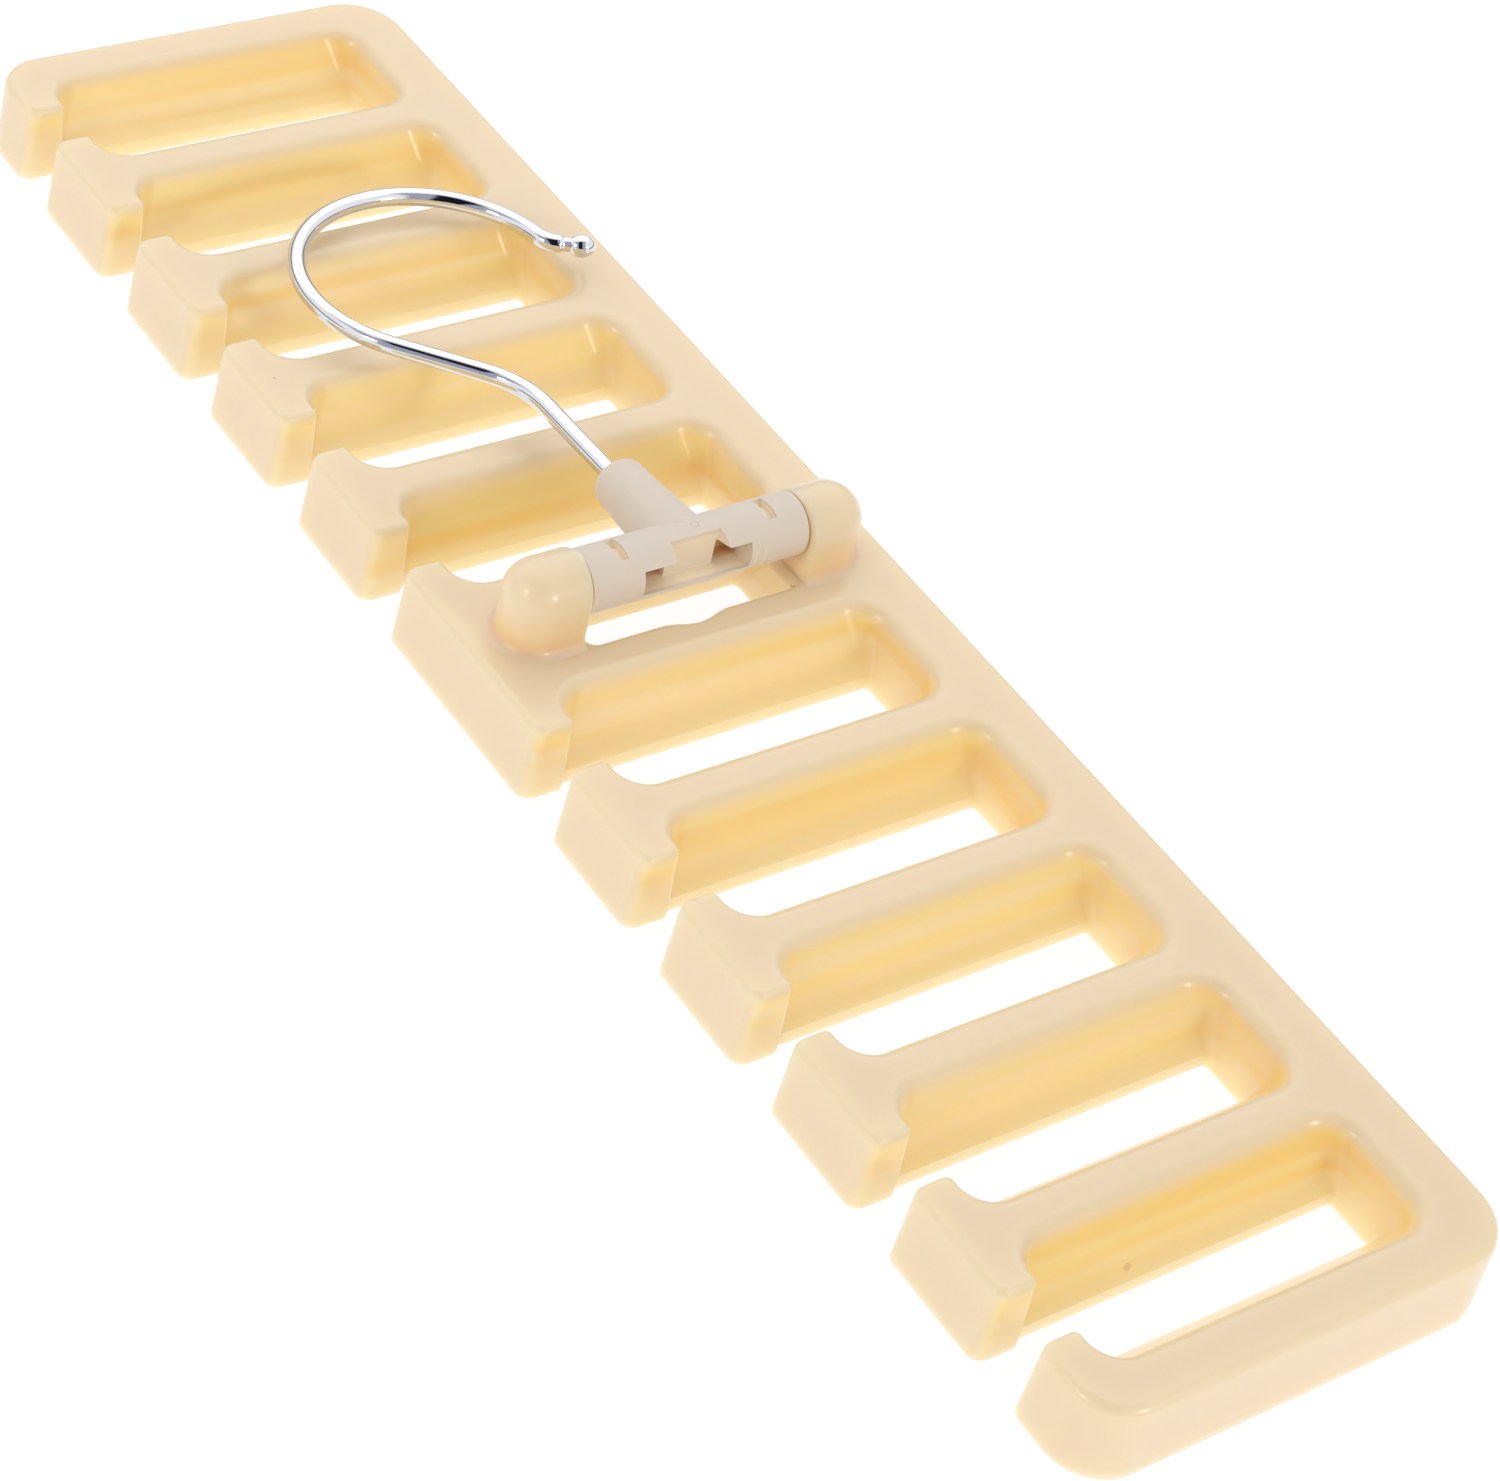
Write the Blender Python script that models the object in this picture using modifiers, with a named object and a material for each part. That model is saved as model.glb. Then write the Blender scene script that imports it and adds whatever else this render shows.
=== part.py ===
"""Belt hanger: a moulded comb plate, a pivot piece with a stem, and a wire hook.

Metres, +Z up. X runs along the comb, Y from the finger heads to the spine, and Z=0 is the underside.
The hook lies folded over the -X half of the plate, as it rests.
"""

import math

import bmesh
import bpy
from mathutils import Matrix, Vector

# Comb plate, in plan. Y is counted from the front of the finger heads.
HALF_LENGTH = 0.1543
END_ARM_OFFSET = 0.0053
MIDDLE_BAR_SPACING = 0.0180
BARS_PER_SIDE = 6
SLOT_PITCH = (HALF_LENGTH - END_ARM_OFFSET - MIDDLE_BAR_SPACING / 2) / (BARS_PER_SIDE - 1)
PLATE_WIDTH = 0.0748
PLATE_THICKNESS = 0.0134
SKIRT_HEIGHT = 0.0028

# Each entry is read at the underside, at the top of the skirt, and where the walls would meet the top.
BAR_HALF_WIDTHS = (0.00925, 0.00940, 0.00285)
HEAD_HALF_WIDTHS = (0.01030, 0.01025, 0.01000)
HEAD_FRONTS = (0.0, 0.00010, 0.00055)
HEAD_BACKS = (0.00730, 0.00725, 0.00710)
SPINE_BAND_WIDTHS = (0.01125, 0.01115, 0.01040)
END_INSETS = (0.0, 0.00010, 0.00060)
SPINE_INSETS = (0.0, 0.00005, 0.00030)
SLOT_CORNER_RADII = (0.00080, 0.00100, 0.00560)
OUTER_FRONT_RADII = (0.00840, 0.00840, 0.00780)
OUTER_SPINE_RADII = (0.00980, 0.00980, 0.00940)
HEAD_FRONT_RADIUS = 0.0022
HEAD_BACK_RADIUS = 0.00125
LEAST_FILLET = 0.00030
LEAST_STRAIGHT = 0.00003

# Rounding of the top edges.
HEAD_EDGE_RADIUS = 0.0018
HEAD_BACK_EDGE_RADIUS = 0.0011
BAR_EDGE_RADIUS = 0.0028
OUTER_EDGE_RADIUS = 0.0022
WINDOW_EDGE_RADIUS = 0.0016

# Window under the pivot. It widens towards the underside.
WINDOW_HALF_WIDTHS = (0.00950, 0.00900, 0.00463)
WINDOW_END_OVERLAPS = (0.00115, 0.00060, -0.00165)
WINDOW_CORNER_RADIUS = 0.0012
STEM_NOTCH_DEPTHS = (0.0, 0.0, 0.00155)
STEM_NOTCH_LENGTH = 0.0128

# Pivot. Ears are keyed -1 for the one at the heads and 1 for the one at the spine.
AXIS_HEIGHT = 0.0208
PIVOT_OFFSET = 0.0005
PIVOT_CENTRE_Y = PLATE_WIDTH / 2 - PIVOT_OFFSET
EAR_SETBACK = 0.0177
EAR_GAP_HALF = PLATE_WIDTH / 2 - EAR_SETBACK
EAR_RADII = {-1: 0.0056, 1: 0.0059}
SPINE_EAR_DROP = 0.0010
EAR_HEIGHTS = {-1: AXIS_HEIGHT, 1: AXIS_HEIGHT - SPINE_EAR_DROP}
EAR_BODY_LENGTH = 0.00615
EAR_FLARE_RADIUS = 0.0016
EAR_ROOT_DEPTH = 0.0016
EAR_RIM_RADIUS = 0.0009
PIN_RADIUS = 0.0025
PIN_LENGTH = 0.0036
PIN_LEAD = 0.0005
PIN_ROOT = 0.0010
PIN_CLEARANCE = 0.00008
BORE_END_ROOM = 0.0005

BARREL_RADIUS = 0.0050
BARREL_END_GAP = 0.00030
BARREL_CHAMFER = 0.00025
STEM_LENGTH = 0.0196
STEM_ROOT_RADIUS = 0.0052
STEM_TIP_RADIUS = 0.0042
STEM_TIP_ROUNDING = 0.0019
STEM_START = 0.0010
SLIT_SETBACK = 0.00635
SLIT_OFFSET = EAR_GAP_HALF - SLIT_SETBACK
SLIT_WIDTH = 0.00150
SLIT_BOTTOM_RADIUS = 0.0037
SLIT_OUTER_RADIUS = 0.0060
RECESS = (-0.01050, 0.00880)
RECESS_FLOOR = -0.00180
RECESS_CEILING = 0.00250
RECESS_BACK = -0.00100
BLOCK = (-0.00490, 0.00390)
BLOCK_FACE = 0.00175
OPENING_END = 0.00420
OPENING_DRAFT = 0.27
OPENING_INSET = 0.00003
CUT_REACH = 0.0090

# Wire hook, measured along the stem and sideways from the pivot centre.
WIRE_DIAMETER = 0.0030
WIRE_CLEARANCE = 0.00008
WIRE_START = 0.0085
SHANK_BEND_CORNER = 0.04463
SHANK_BEND_RADIUS = 0.0168
LOOP_CENTRE = (0.07512, 0.00221)
LOOP_RADIUS = 0.02206
TIP_BEND_RADIUS = 0.0045
TIP_STRAIGHT = 0.0047
NECK_RADIUS = 0.00105
NECK_LENGTH = 0.0034
BALL_RADIUS = 0.0019

# The folded hook slopes down to the far end of its loop, which stays a small gap above the plate.
REST_GAP = 0.001491625
REST_DROP = AXIS_HEIGHT - PLATE_THICKNESS - WIRE_DIAMETER / 2 - REST_GAP
REST_TILT = -math.asin(REST_DROP / (LOOP_CENTRE[0] + LOOP_RADIUS))

LOOP_END_ANGLE = math.radians(80)
TIP_BEND_ANGLE = math.radians(50)
SLIT_FROM = math.radians(60)
SLIT_TO = math.radians(116)
SHARP_ANGLE = math.radians(32)

FRONT_STEPS = 4
BACK_STEPS = 3
FILLET_STEPS = 5
SLOT_STEPS = 6
OUTER_STEPS = 8
WINDOW_STEPS = 3
NOTCH_STEPS = 8
EDGE_STEPS = 3
EAR_STEPS = 10
DOME_STEPS = 8
ROUND_STEPS = 48
BORE_STEPS = 32
WIRE_BEVEL_RESOLUTION = 2
WIRE_STEP_ANGLE = math.radians(10)

QUARTER = math.pi / 2
NO_TURN = 0.0
MERGE_DISTANCE = 1e-7

IVORY = (0.896, 0.745, 0.520, 1.0)
GREIGE = (0.745, 0.660, 0.580, 1.0)
CHROME = (0.780, 0.790, 0.800, 1.0)


def clear_scene():
    for obj in list(bpy.data.objects):
        bpy.data.objects.remove(obj)


def new_collection(name):
    collection = bpy.data.collections.new(name)
    bpy.context.scene.collection.children.link(collection)
    return collection


def material(name, colour, roughness, metallic):
    made = bpy.data.materials.new(name)
    made.use_nodes = True
    shader = made.node_tree.nodes["Principled BSDF"]
    shader.inputs["Base Color"].default_value = colour
    shader.inputs["Roughness"].default_value = roughness
    shader.inputs["Metallic"].default_value = metallic
    made.diffuse_color = colour
    return made


def object_from_bmesh(name, bm, collection):
    bmesh.ops.remove_doubles(bm, verts=bm.verts, dist=MERGE_DISTANCE)
    bmesh.ops.recalc_face_normals(bm, faces=bm.faces)
    mesh = bpy.data.meshes.new(name)
    bm.to_mesh(mesh)
    bm.free()
    obj = bpy.data.objects.new(name, mesh)
    collection.objects.link(obj)
    return obj


def cutter(obj):
    obj.hide_render = True
    obj.display_type = "WIRE"
    return obj


def join(target, other, operation):
    modifier = target.modifiers.new(f"{operation} {other.name}", "BOOLEAN")
    modifier.operation = operation
    modifier.solver = "EXACT"
    modifier.object = other
    return modifier


def loft(bm, rings):
    """Side faces between closed rings of equal length, lowest ring first."""
    made = [[bm.verts.new(point) for point in ring] for ring in rings]
    for low, high in zip(made, made[1:]):
        count = len(low)
        for i in range(count):
            j = (i + 1) % count
            bm.faces.new((low[i], low[j], high[j], high[i]))
    return made


def capped_loft(name, rings, collection):
    bm = bmesh.new()
    made = loft(bm, rings)
    bm.faces.new(list(reversed(made[0])))
    bm.faces.new(made[-1])
    return object_from_bmesh(name, bm, collection)


def rounded_path(corners):
    """Closed path through (x, y, radius, steps, edge in, edge out) corners, with each vertex's edge rounding."""
    points = []
    edges = []
    count = len(corners)
    for i, (x, y, radius, steps, edge_in, edge_out) in enumerate(corners):
        here = Vector((x, y))
        before = (Vector(corners[i - 1][:2]) - here).normalized()
        after = (Vector(corners[(i + 1) % count][:2]) - here).normalized()
        half = math.acos(max(-1, min(1, before.dot(after)))) / 2
        centre = here + (before + after).normalized() * (radius / math.sin(half))
        start = here + before * (radius / math.tan(half)) - centre
        end = here + after * (radius / math.tan(half)) - centre
        sweep = start.angle_signed(end)
        for step in range(steps + 1):
            share = step / steps
            turned = start.copy()
            turned.rotate(Matrix.Rotation(-sweep * share, 2))
            points.append(centre + turned)
            edges.append(edge_in + (edge_out - edge_in) * share)
    return points, edges


def outward_normals(points):
    """Unit normals pointing right of the direction of travel."""
    normals = []
    count = len(points)
    for i in range(count):
        before = (points[i] - points[i - 1]).normalized()
        after = (points[(i + 1) % count] - points[i]).normalized()
        along = (before + after).normalized()
        normals.append(Vector((along.y, -along.x)) / max(along.dot(after), 0.5))
    return normals


def walls_with_rounded_top(bottom, skirt, top, edges):
    """Rings from the underside up the walls and over the rounded top edge."""
    normals = outward_normals(top)
    rings = [
        [Vector((p.x, p.y, 0.0)) for p in bottom],
        [Vector((p.x, p.y, SKIRT_HEIGHT)) for p in skirt],
    ]
    rise = PLATE_THICKNESS - SKIRT_HEIGHT
    for step in range(EDGE_STEPS + 1):
        ring = []
        for low, high, normal, radius in zip(skirt, top, normals, edges):
            slope = math.atan2((low - high).dot(normal.normalized()), rise)
            turn = slope + (QUARTER - slope) * step / EDGE_STEPS
            reach = radius * (math.cos(turn) - math.tan((QUARTER - slope) / 2))
            flat = high + normal * reach
            ring.append(Vector((flat.x, flat.y, PLATE_THICKNESS - radius * (1 - math.sin(turn)))))
        rings.append(ring)
    return rings


def comb_corners(level):
    """Corners of the comb's outline, counter-clockwise from the -X end of the front."""
    bar = BAR_HALF_WIDTHS[level]
    head = HEAD_HALF_WIDTHS[level]
    front = HEAD_FRONTS[level]
    back = HEAD_BACKS[level]
    end = PLATE_WIDTH - SPINE_BAND_WIDTHS[level]
    length = HALF_LENGTH - END_INSETS[level]
    spine = PLATE_WIDTH - SPINE_INSETS[level]
    slot_corner = SLOT_CORNER_RADII[level]
    shoulder = min(HEAD_BACK_RADIUS, head - bar - LEAST_FILLET)
    fillet = head - bar - shoulder - LEAST_STRAIGHT
    head_edge = (HEAD_EDGE_RADIUS, HEAD_EDGE_RADIUS)
    back_edge = (HEAD_BACK_EDGE_RADIUS, HEAD_BACK_EDGE_RADIUS)
    bar_edge = (BAR_EDGE_RADIUS, BAR_EDGE_RADIUS)
    outer_edge = (OUTER_EDGE_RADIUS, OUTER_EDGE_RADIUS)
    positive = [MIDDLE_BAR_SPACING / 2 + SLOT_PITCH * i for i in range(BARS_PER_SIDE)]
    bars = [-x for x in reversed(positive)] + positive
    corners = [(-length, front, OUTER_FRONT_RADII[level], OUTER_STEPS, *outer_edge)]
    for left, right in zip(bars, bars[1:]):
        if right - left < SLOT_PITCH / 2 + MIDDLE_BAR_SPACING / 2:
            continue
        corners += [
            (left + head, front, HEAD_FRONT_RADIUS, FRONT_STEPS, *head_edge),
            (left + head, back, shoulder, BACK_STEPS, *back_edge),
            (left + bar, back, fillet, FILLET_STEPS, HEAD_BACK_EDGE_RADIUS, BAR_EDGE_RADIUS),
            (left + bar, end, slot_corner, SLOT_STEPS, *bar_edge),
            (right - bar, end, slot_corner, SLOT_STEPS, *bar_edge),
            (right - bar, back, fillet, FILLET_STEPS, BAR_EDGE_RADIUS, HEAD_BACK_EDGE_RADIUS),
            (right - head, back, shoulder, BACK_STEPS, *back_edge),
            (right - head, front, HEAD_FRONT_RADIUS, FRONT_STEPS, *head_edge),
        ]
    corners += [
        (length, front, OUTER_FRONT_RADII[level], OUTER_STEPS, *outer_edge),
        (length, spine, OUTER_SPINE_RADII[level], OUTER_STEPS, *outer_edge),
        (-length, spine, OUTER_SPINE_RADII[level], OUTER_STEPS, *outer_edge),
    ]
    return corners


def window_path(level):
    """The window's outline, clockwise, with a notch for the stem in each long side."""
    side = WINDOW_HALF_WIDTHS[level]
    reach = EAR_GAP_HALF + WINDOW_END_OVERLAPS[level]
    depth = STEM_NOTCH_DEPTHS[level]
    corner = (WINDOW_CORNER_RADIUS, WINDOW_STEPS, WINDOW_EDGE_RADIUS, WINDOW_EDGE_RADIUS)
    points, _ = rounded_path(
        [
            (side, PIVOT_CENTRE_Y - reach, *corner),
            (-side, PIVOT_CENTRE_Y - reach, *corner),
            (-side, PIVOT_CENTRE_Y + reach, *corner),
            (side, PIVOT_CENTRE_Y + reach, *corner),
        ]
    )
    notch = []
    for step in range(NOTCH_STEPS + 1):
        share = step / NOTCH_STEPS
        swell = depth * (1 - math.cos(2 * math.pi * share)) / 2
        notch.append((side + swell, (share - 0.5) * STEM_NOTCH_LENGTH))
    half = 2 * (WINDOW_STEPS + 1)
    left = [Vector((-x, PIVOT_CENTRE_Y + y)) for x, y in notch]
    right = [Vector((x, PIVOT_CENTRE_Y - y)) for x, y in notch]
    path = points[:half] + left + points[half:] + right
    return path, [WINDOW_EDGE_RADIUS] * len(path)


def plan_cap(bm, outer, hole, upwards):
    """Two faces that fill the plan between an outer ring and a hole in it."""
    first, second = 0, 2 * WINDOW_STEPS + 1
    start, end = (
        min(range(len(outer)), key=lambda i: (outer[i].co - hole[k].co).length) for k in (first, second)
    )
    halves = [
        outer[end : start + 1] + hole[first : second + 1],
        outer[start:] + outer[: end + 1] + hole[second:] + hole[: first + 1],
    ]
    for half in halves:
        bm.faces.new(half if upwards else list(reversed(half)))


def comb_plate(collection):
    levels = [rounded_path(comb_corners(level)) for level in range(len(BAR_HALF_WIDTHS))]
    windows = [window_path(level) for level in range(len(WINDOW_HALF_WIDTHS))]
    shift = Vector((0.0, -PLATE_WIDTH / 2, 0.0))
    bm = bmesh.new()
    outer = loft(bm, walls_with_rounded_top(levels[0][0], levels[1][0], levels[2][0], levels[2][1]))
    inner = loft(bm, walls_with_rounded_top(windows[0][0], windows[1][0], windows[2][0], windows[2][1]))
    plan_cap(bm, outer[0], inner[0], False)
    plan_cap(bm, outer[-1], inner[-1], True)
    bmesh.ops.translate(bm, verts=bm.verts, vec=shift)
    return object_from_bmesh("comb_plate", bm, collection)


def ear_rings(side):
    """Outlines of one ear from its root to its crest. Side is -1 at the heads and 1 at the spine."""
    face = side * EAR_GAP_HALF
    centre = side * (EAR_GAP_HALF + EAR_BODY_LENGTH)
    foot = PLATE_THICKNESS
    radius = EAR_RADII[side]
    levels = [(foot - EAR_ROOT_DEPTH, radius + EAR_FLARE_RADIUS), (foot, radius + EAR_FLARE_RADIUS)]
    for step in range(1, DOME_STEPS // 2 + 1):
        turn = QUARTER * step / (DOME_STEPS // 2)
        width = radius + EAR_FLARE_RADIUS * (1 - math.sin(turn))
        levels.append((foot + EAR_FLARE_RADIUS * (1 - math.cos(turn)), width))
    for step in range(DOME_STEPS + 1):
        turn = QUARTER * step / DOME_STEPS
        levels.append((EAR_HEIGHTS[side] + radius * math.sin(turn), radius * math.cos(turn)))
    rings = []
    for height, width in levels:
        rim = min(EAR_RIM_RADIUS, width / 2)
        ring = []
        for step in range(BACK_STEPS + 1):
            turn = QUARTER * step / BACK_STEPS
            ring.append((width - rim * (1 - math.sin(turn)), face + side * rim * (1 - math.cos(turn))))
        for step in range(EAR_STEPS + 1):
            turn = 2 * QUARTER * step / EAR_STEPS
            ring.append((width * math.cos(turn), centre + side * width * math.sin(turn)))
        for step in range(BACK_STEPS + 1):
            turn = QUARTER * (1 - step / BACK_STEPS)
            ring.append((-width + rim * (1 - math.sin(turn)), face + side * rim * (1 - math.cos(turn))))
        shift = PIVOT_CENTRE_Y - PLATE_WIDTH / 2
        rings.append([Vector((x, y + shift, height)) for x, y in ring])
    return rings


def ear(name, side, collection):
    bm = bmesh.new()
    made = loft(bm, ear_rings(side))
    bm.faces.new(list(reversed(made[0])))
    return cutter(object_from_bmesh(name, bm, collection))


def turned(name, profile, steps, collection):
    """Profile of (radius, along) points revolved about the object's Z axis."""
    mesh = bpy.data.meshes.new(name)
    points = [(radius, 0.0, along) for radius, along in profile]
    mesh.from_pydata(points, [(i, i + 1) for i in range(len(points) - 1)], [])
    obj = bpy.data.objects.new(name, mesh)
    collection.objects.link(obj)
    screw = obj.modifiers.new("Turn", "SCREW")
    screw.axis = "Z"
    screw.steps = steps
    screw.render_steps = steps
    screw.use_merge_vertices = True
    screw.merge_threshold = MERGE_DISTANCE
    return obj


def baked(obj, turn):
    """The object's evaluated shape as its own mesh, turned by the matrix."""
    graph = bpy.context.evaluated_depsgraph_get()
    mesh = bpy.data.meshes.new_from_object(obj.evaluated_get(graph))
    obj.modifiers.clear()
    obj.data = mesh
    bm = bmesh.new()
    bm.from_mesh(mesh)
    bmesh.ops.remove_doubles(bm, verts=bm.verts, dist=MERGE_DISTANCE)
    bmesh.ops.transform(bm, verts=bm.verts, matrix=turn)
    bmesh.ops.recalc_face_normals(bm, faces=bm.faces)
    bm.to_mesh(mesh)
    bm.free()
    return obj


def pin(name, side, collection):
    """Stub pin on an ear, pointing into the barrel."""
    profile = [
        (0.0, PIN_LENGTH),
        (PIN_RADIUS - PIN_LEAD, PIN_LENGTH),
        (PIN_RADIUS, PIN_LENGTH - PIN_LEAD),
        (PIN_RADIUS, -PIN_ROOT),
        (0.0, -PIN_ROOT),
    ]
    obj = turned(name, profile, BORE_STEPS, collection)
    place = Vector((0.0, PIVOT_CENTRE_Y - PLATE_WIDTH / 2 + side * EAR_GAP_HALF, AXIS_HEIGHT))
    turn = Matrix.Translation(place) @ Matrix.Rotation(side * QUARTER, 4, "X")
    return cutter(baked(obj, turn))


def plan_cut(name, outline, low, high, collection):
    """Prism on an outline of (along the barrel, outwards), between two heights."""
    rings = [[Vector((outwards, y, height)) for y, outwards in outline] for height in (low, high)]
    return cutter(capped_loft(name, rings, collection))


def recess_cut(collection):
    """The low part of the recess, with a deep pocket on each side of the block."""
    (left, right), (start, end) = RECESS, BLOCK
    outline = [
        (left, CUT_REACH),
        (left, RECESS_BACK),
        (start, RECESS_BACK),
        (start, BLOCK_FACE),
        (end, BLOCK_FACE),
        (end, RECESS_BACK),
        (right, RECESS_BACK),
        (right, CUT_REACH),
    ]
    return plan_cut("recess", outline, RECESS_FLOOR, RECESS_CEILING, collection)


def opening_cut(collection):
    """The high part of the recess, in front of the block. Its spine end leans outwards."""
    start = BLOCK[0] + OPENING_INSET
    face = BLOCK_FACE + OPENING_INSET
    lean = OPENING_DRAFT * (CUT_REACH - face)
    outline = [(start, CUT_REACH), (start, face), (OPENING_END, face), (OPENING_END + lean, CUT_REACH)]
    return plan_cut("opening", outline, RECESS_CEILING - OPENING_INSET, CUT_REACH, collection)


def slit(name, side, collection):
    """Arc-shaped cut across the top of the barrel."""
    rings = []
    for step in range(FILLET_STEPS + 1):
        turn = SLIT_FROM + (SLIT_TO - SLIT_FROM) * step / FILLET_STEPS
        ring = []
        for radius, along in (
            (SLIT_BOTTOM_RADIUS, -SLIT_WIDTH / 2),
            (SLIT_OUTER_RADIUS, -SLIT_WIDTH / 2),
            (SLIT_OUTER_RADIUS, SLIT_WIDTH / 2),
            (SLIT_BOTTOM_RADIUS, SLIT_WIDTH / 2),
        ):
            y = side * SLIT_OFFSET + along
            ring.append(Vector((radius * math.cos(turn), y, radius * math.sin(turn))))
        rings.append(ring)
    return cutter(capped_loft(name, rings, collection))


def barrel(collection):
    end = EAR_GAP_HALF - BARREL_END_GAP
    bore = PIN_RADIUS + PIN_CLEARANCE
    floor = EAR_GAP_HALF - PIN_LENGTH - BORE_END_ROOM
    half = [
        (0.0, floor),
        (bore, floor),
        (bore, end),
        (BARREL_RADIUS - BARREL_CHAMFER, end),
        (BARREL_RADIUS, end - BARREL_CHAMFER),
    ]
    profile = half + [(radius, -along) for radius, along in reversed(half)]
    obj = turned("pivot_piece", profile, ROUND_STEPS, collection)
    return baked(obj, Matrix.Rotation(QUARTER, 4, "X"))


def stem(collection):
    """Tapered round stem along -X with a rounded tip and a blind bore for the wire."""
    bore = WIRE_DIAMETER / 2 + WIRE_CLEARANCE
    floor = WIRE_START - BORE_END_ROOM
    profile = [(0.0, STEM_START), (STEM_ROOT_RADIUS, STEM_START)]
    for step in range(DOME_STEPS + 1):
        turn = QUARTER * step / DOME_STEPS
        radius = STEM_TIP_RADIUS - STEM_TIP_ROUNDING * (1 - math.cos(turn))
        profile.append((radius, STEM_LENGTH - STEM_TIP_ROUNDING * (1 - math.sin(turn))))
    profile += [(bore, STEM_LENGTH), (bore, floor), (0.0, floor)]
    obj = turned("stem", list(reversed(profile)), ROUND_STEPS, collection)
    return cutter(baked(obj, Matrix.Rotation(-QUARTER, 4, "Y")))


def pivot_piece(parts, cutters):
    piece = barrel(parts)
    helpers = [
        (stem(cutters), "UNION"),
        (slit("slit_head_side", -1, cutters), "DIFFERENCE"),
        (slit("slit_spine_side", 1, cutters), "DIFFERENCE"),
        (recess_cut(cutters), "DIFFERENCE"),
        (opening_cut(cutters), "DIFFERENCE"),
    ]
    for helper, operation in helpers:
        join(piece, helper, operation)
        helper.parent = piece
    return piece


def arc(centre, radius, start, sweep):
    """Points of an arc in the hook's plane, both ends left in."""
    steps = max(2, math.ceil(abs(sweep) / WIRE_STEP_ANGLE))
    points = []
    for step in range(steps + 1):
        turn = start + sweep * step / steps
        points.append((centre[0] + radius * math.cos(turn), centre[1] + radius * math.sin(turn)))
    return points


def wire_path():
    """Centre line of the wire as (along the stem, sideways, radius)."""
    radius = WIRE_DIAMETER / 2
    away = Vector(LOOP_CENTRE) - Vector((SHANK_BEND_CORNER, 0.0))
    lead = math.atan2(away.y, away.x) - math.asin(LOOP_RADIUS / away.length)
    tangent = SHANK_BEND_RADIUS * math.tan(-lead / 2)
    bend_centre = (SHANK_BEND_CORNER - tangent, -SHANK_BEND_RADIUS)
    path = [(WIRE_START, 0.0)]
    path += arc(bend_centre, SHANK_BEND_RADIUS, QUARTER, lead)
    loop_start = lead - QUARTER
    path += arc(LOOP_CENTRE, LOOP_RADIUS, loop_start, LOOP_END_ANGLE - loop_start)
    tip_start = Vector(path[-1])
    outward = Vector((math.cos(LOOP_END_ANGLE), math.sin(LOOP_END_ANGLE)))
    tip_centre = tip_start + outward * TIP_BEND_RADIUS
    path += arc(tip_centre, TIP_BEND_RADIUS, LOOP_END_ANGLE + 2 * QUARTER, -TIP_BEND_ANGLE)[1:]
    points = [(x, y, radius) for x, y in path]
    heading = LOOP_END_ANGLE + QUARTER - TIP_BEND_ANGLE
    along = Vector((math.cos(heading), math.sin(heading)))
    last = Vector(path[-1])
    ball = last + along * TIP_STRAIGHT
    neck = ball - along * NECK_LENGTH
    points.append((neck.x, neck.y, NECK_RADIUS))
    start = math.asin(NECK_RADIUS / BALL_RADIUS)
    for step in range(DOME_STEPS + 1):
        turn = start + (2 * QUARTER - 2 * start) * step / DOME_STEPS
        place = ball - along * (BALL_RADIUS * math.cos(turn))
        points.append((place.x, place.y, BALL_RADIUS * math.sin(turn)))
    return points


def wire_hook(collection):
    curve = bpy.data.curves.new("wire_hook", "CURVE")
    curve.dimensions = "3D"
    curve.bevel_depth = WIRE_DIAMETER / 2
    curve.bevel_resolution = WIRE_BEVEL_RESOLUTION
    curve.use_fill_caps = True
    path = wire_path()
    spline = curve.splines.new("POLY")
    spline.points.add(len(path) - 1)
    for point, (along, sideways, radius) in zip(spline.points, path):
        point.co = (-along, sideways, 0.0, 1.0)
        point.radius = radius / curve.bevel_depth
    obj = bpy.data.objects.new("wire_hook", curve)
    collection.objects.link(obj)
    return obj


def finish(obj, surface):
    obj.data.materials.clear()
    obj.data.materials.append(surface)
    if obj.type == "MESH":
        for polygon in obj.data.polygons:
            polygon.use_smooth = True
        obj.data.set_sharp_from_angle(angle=SHARP_ANGLE)


def main():
    clear_scene()
    parts = new_collection("belt_hanger")
    cutters = new_collection("belt_hanger_cutters")

    plate = comb_plate(parts)
    for name, side in (("head_side", -1), ("spine_side", 1)):
        join(plate, ear(f"ear_{name}", side, cutters), "UNION")
        join(plate, pin(f"pin_{name}", side, cutters), "UNION")

    piece = pivot_piece(parts, cutters)
    hook = wire_hook(parts)
    axis = Vector((0.0, PIVOT_CENTRE_Y - PLATE_WIDTH / 2, AXIS_HEIGHT))
    for moving in (piece, hook):
        moving.location = axis
        moving.rotation_euler = (NO_TURN, REST_TILT, NO_TURN)

    finish(plate, material("ivory_plastic", IVORY, 0.35, 0.0))
    finish(piece, material("greige_plastic", GREIGE, 0.45, 0.0))
    finish(hook, material("chrome_wire", CHROME, 0.08, 1.0))


main()
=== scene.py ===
"""Belt hanger: shapes and finishes of the comb plate, pivot piece and wire hook, with floor, lamps and camera.

Metres, +Z up. X runs along the comb, Y from the finger heads to the spine, and Z=0 is the underside.
"""

import math

import bmesh
import bpy
from bpy.props import FloatProperty, FloatVectorProperty, PointerProperty
from mathutils import Matrix, Vector


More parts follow.
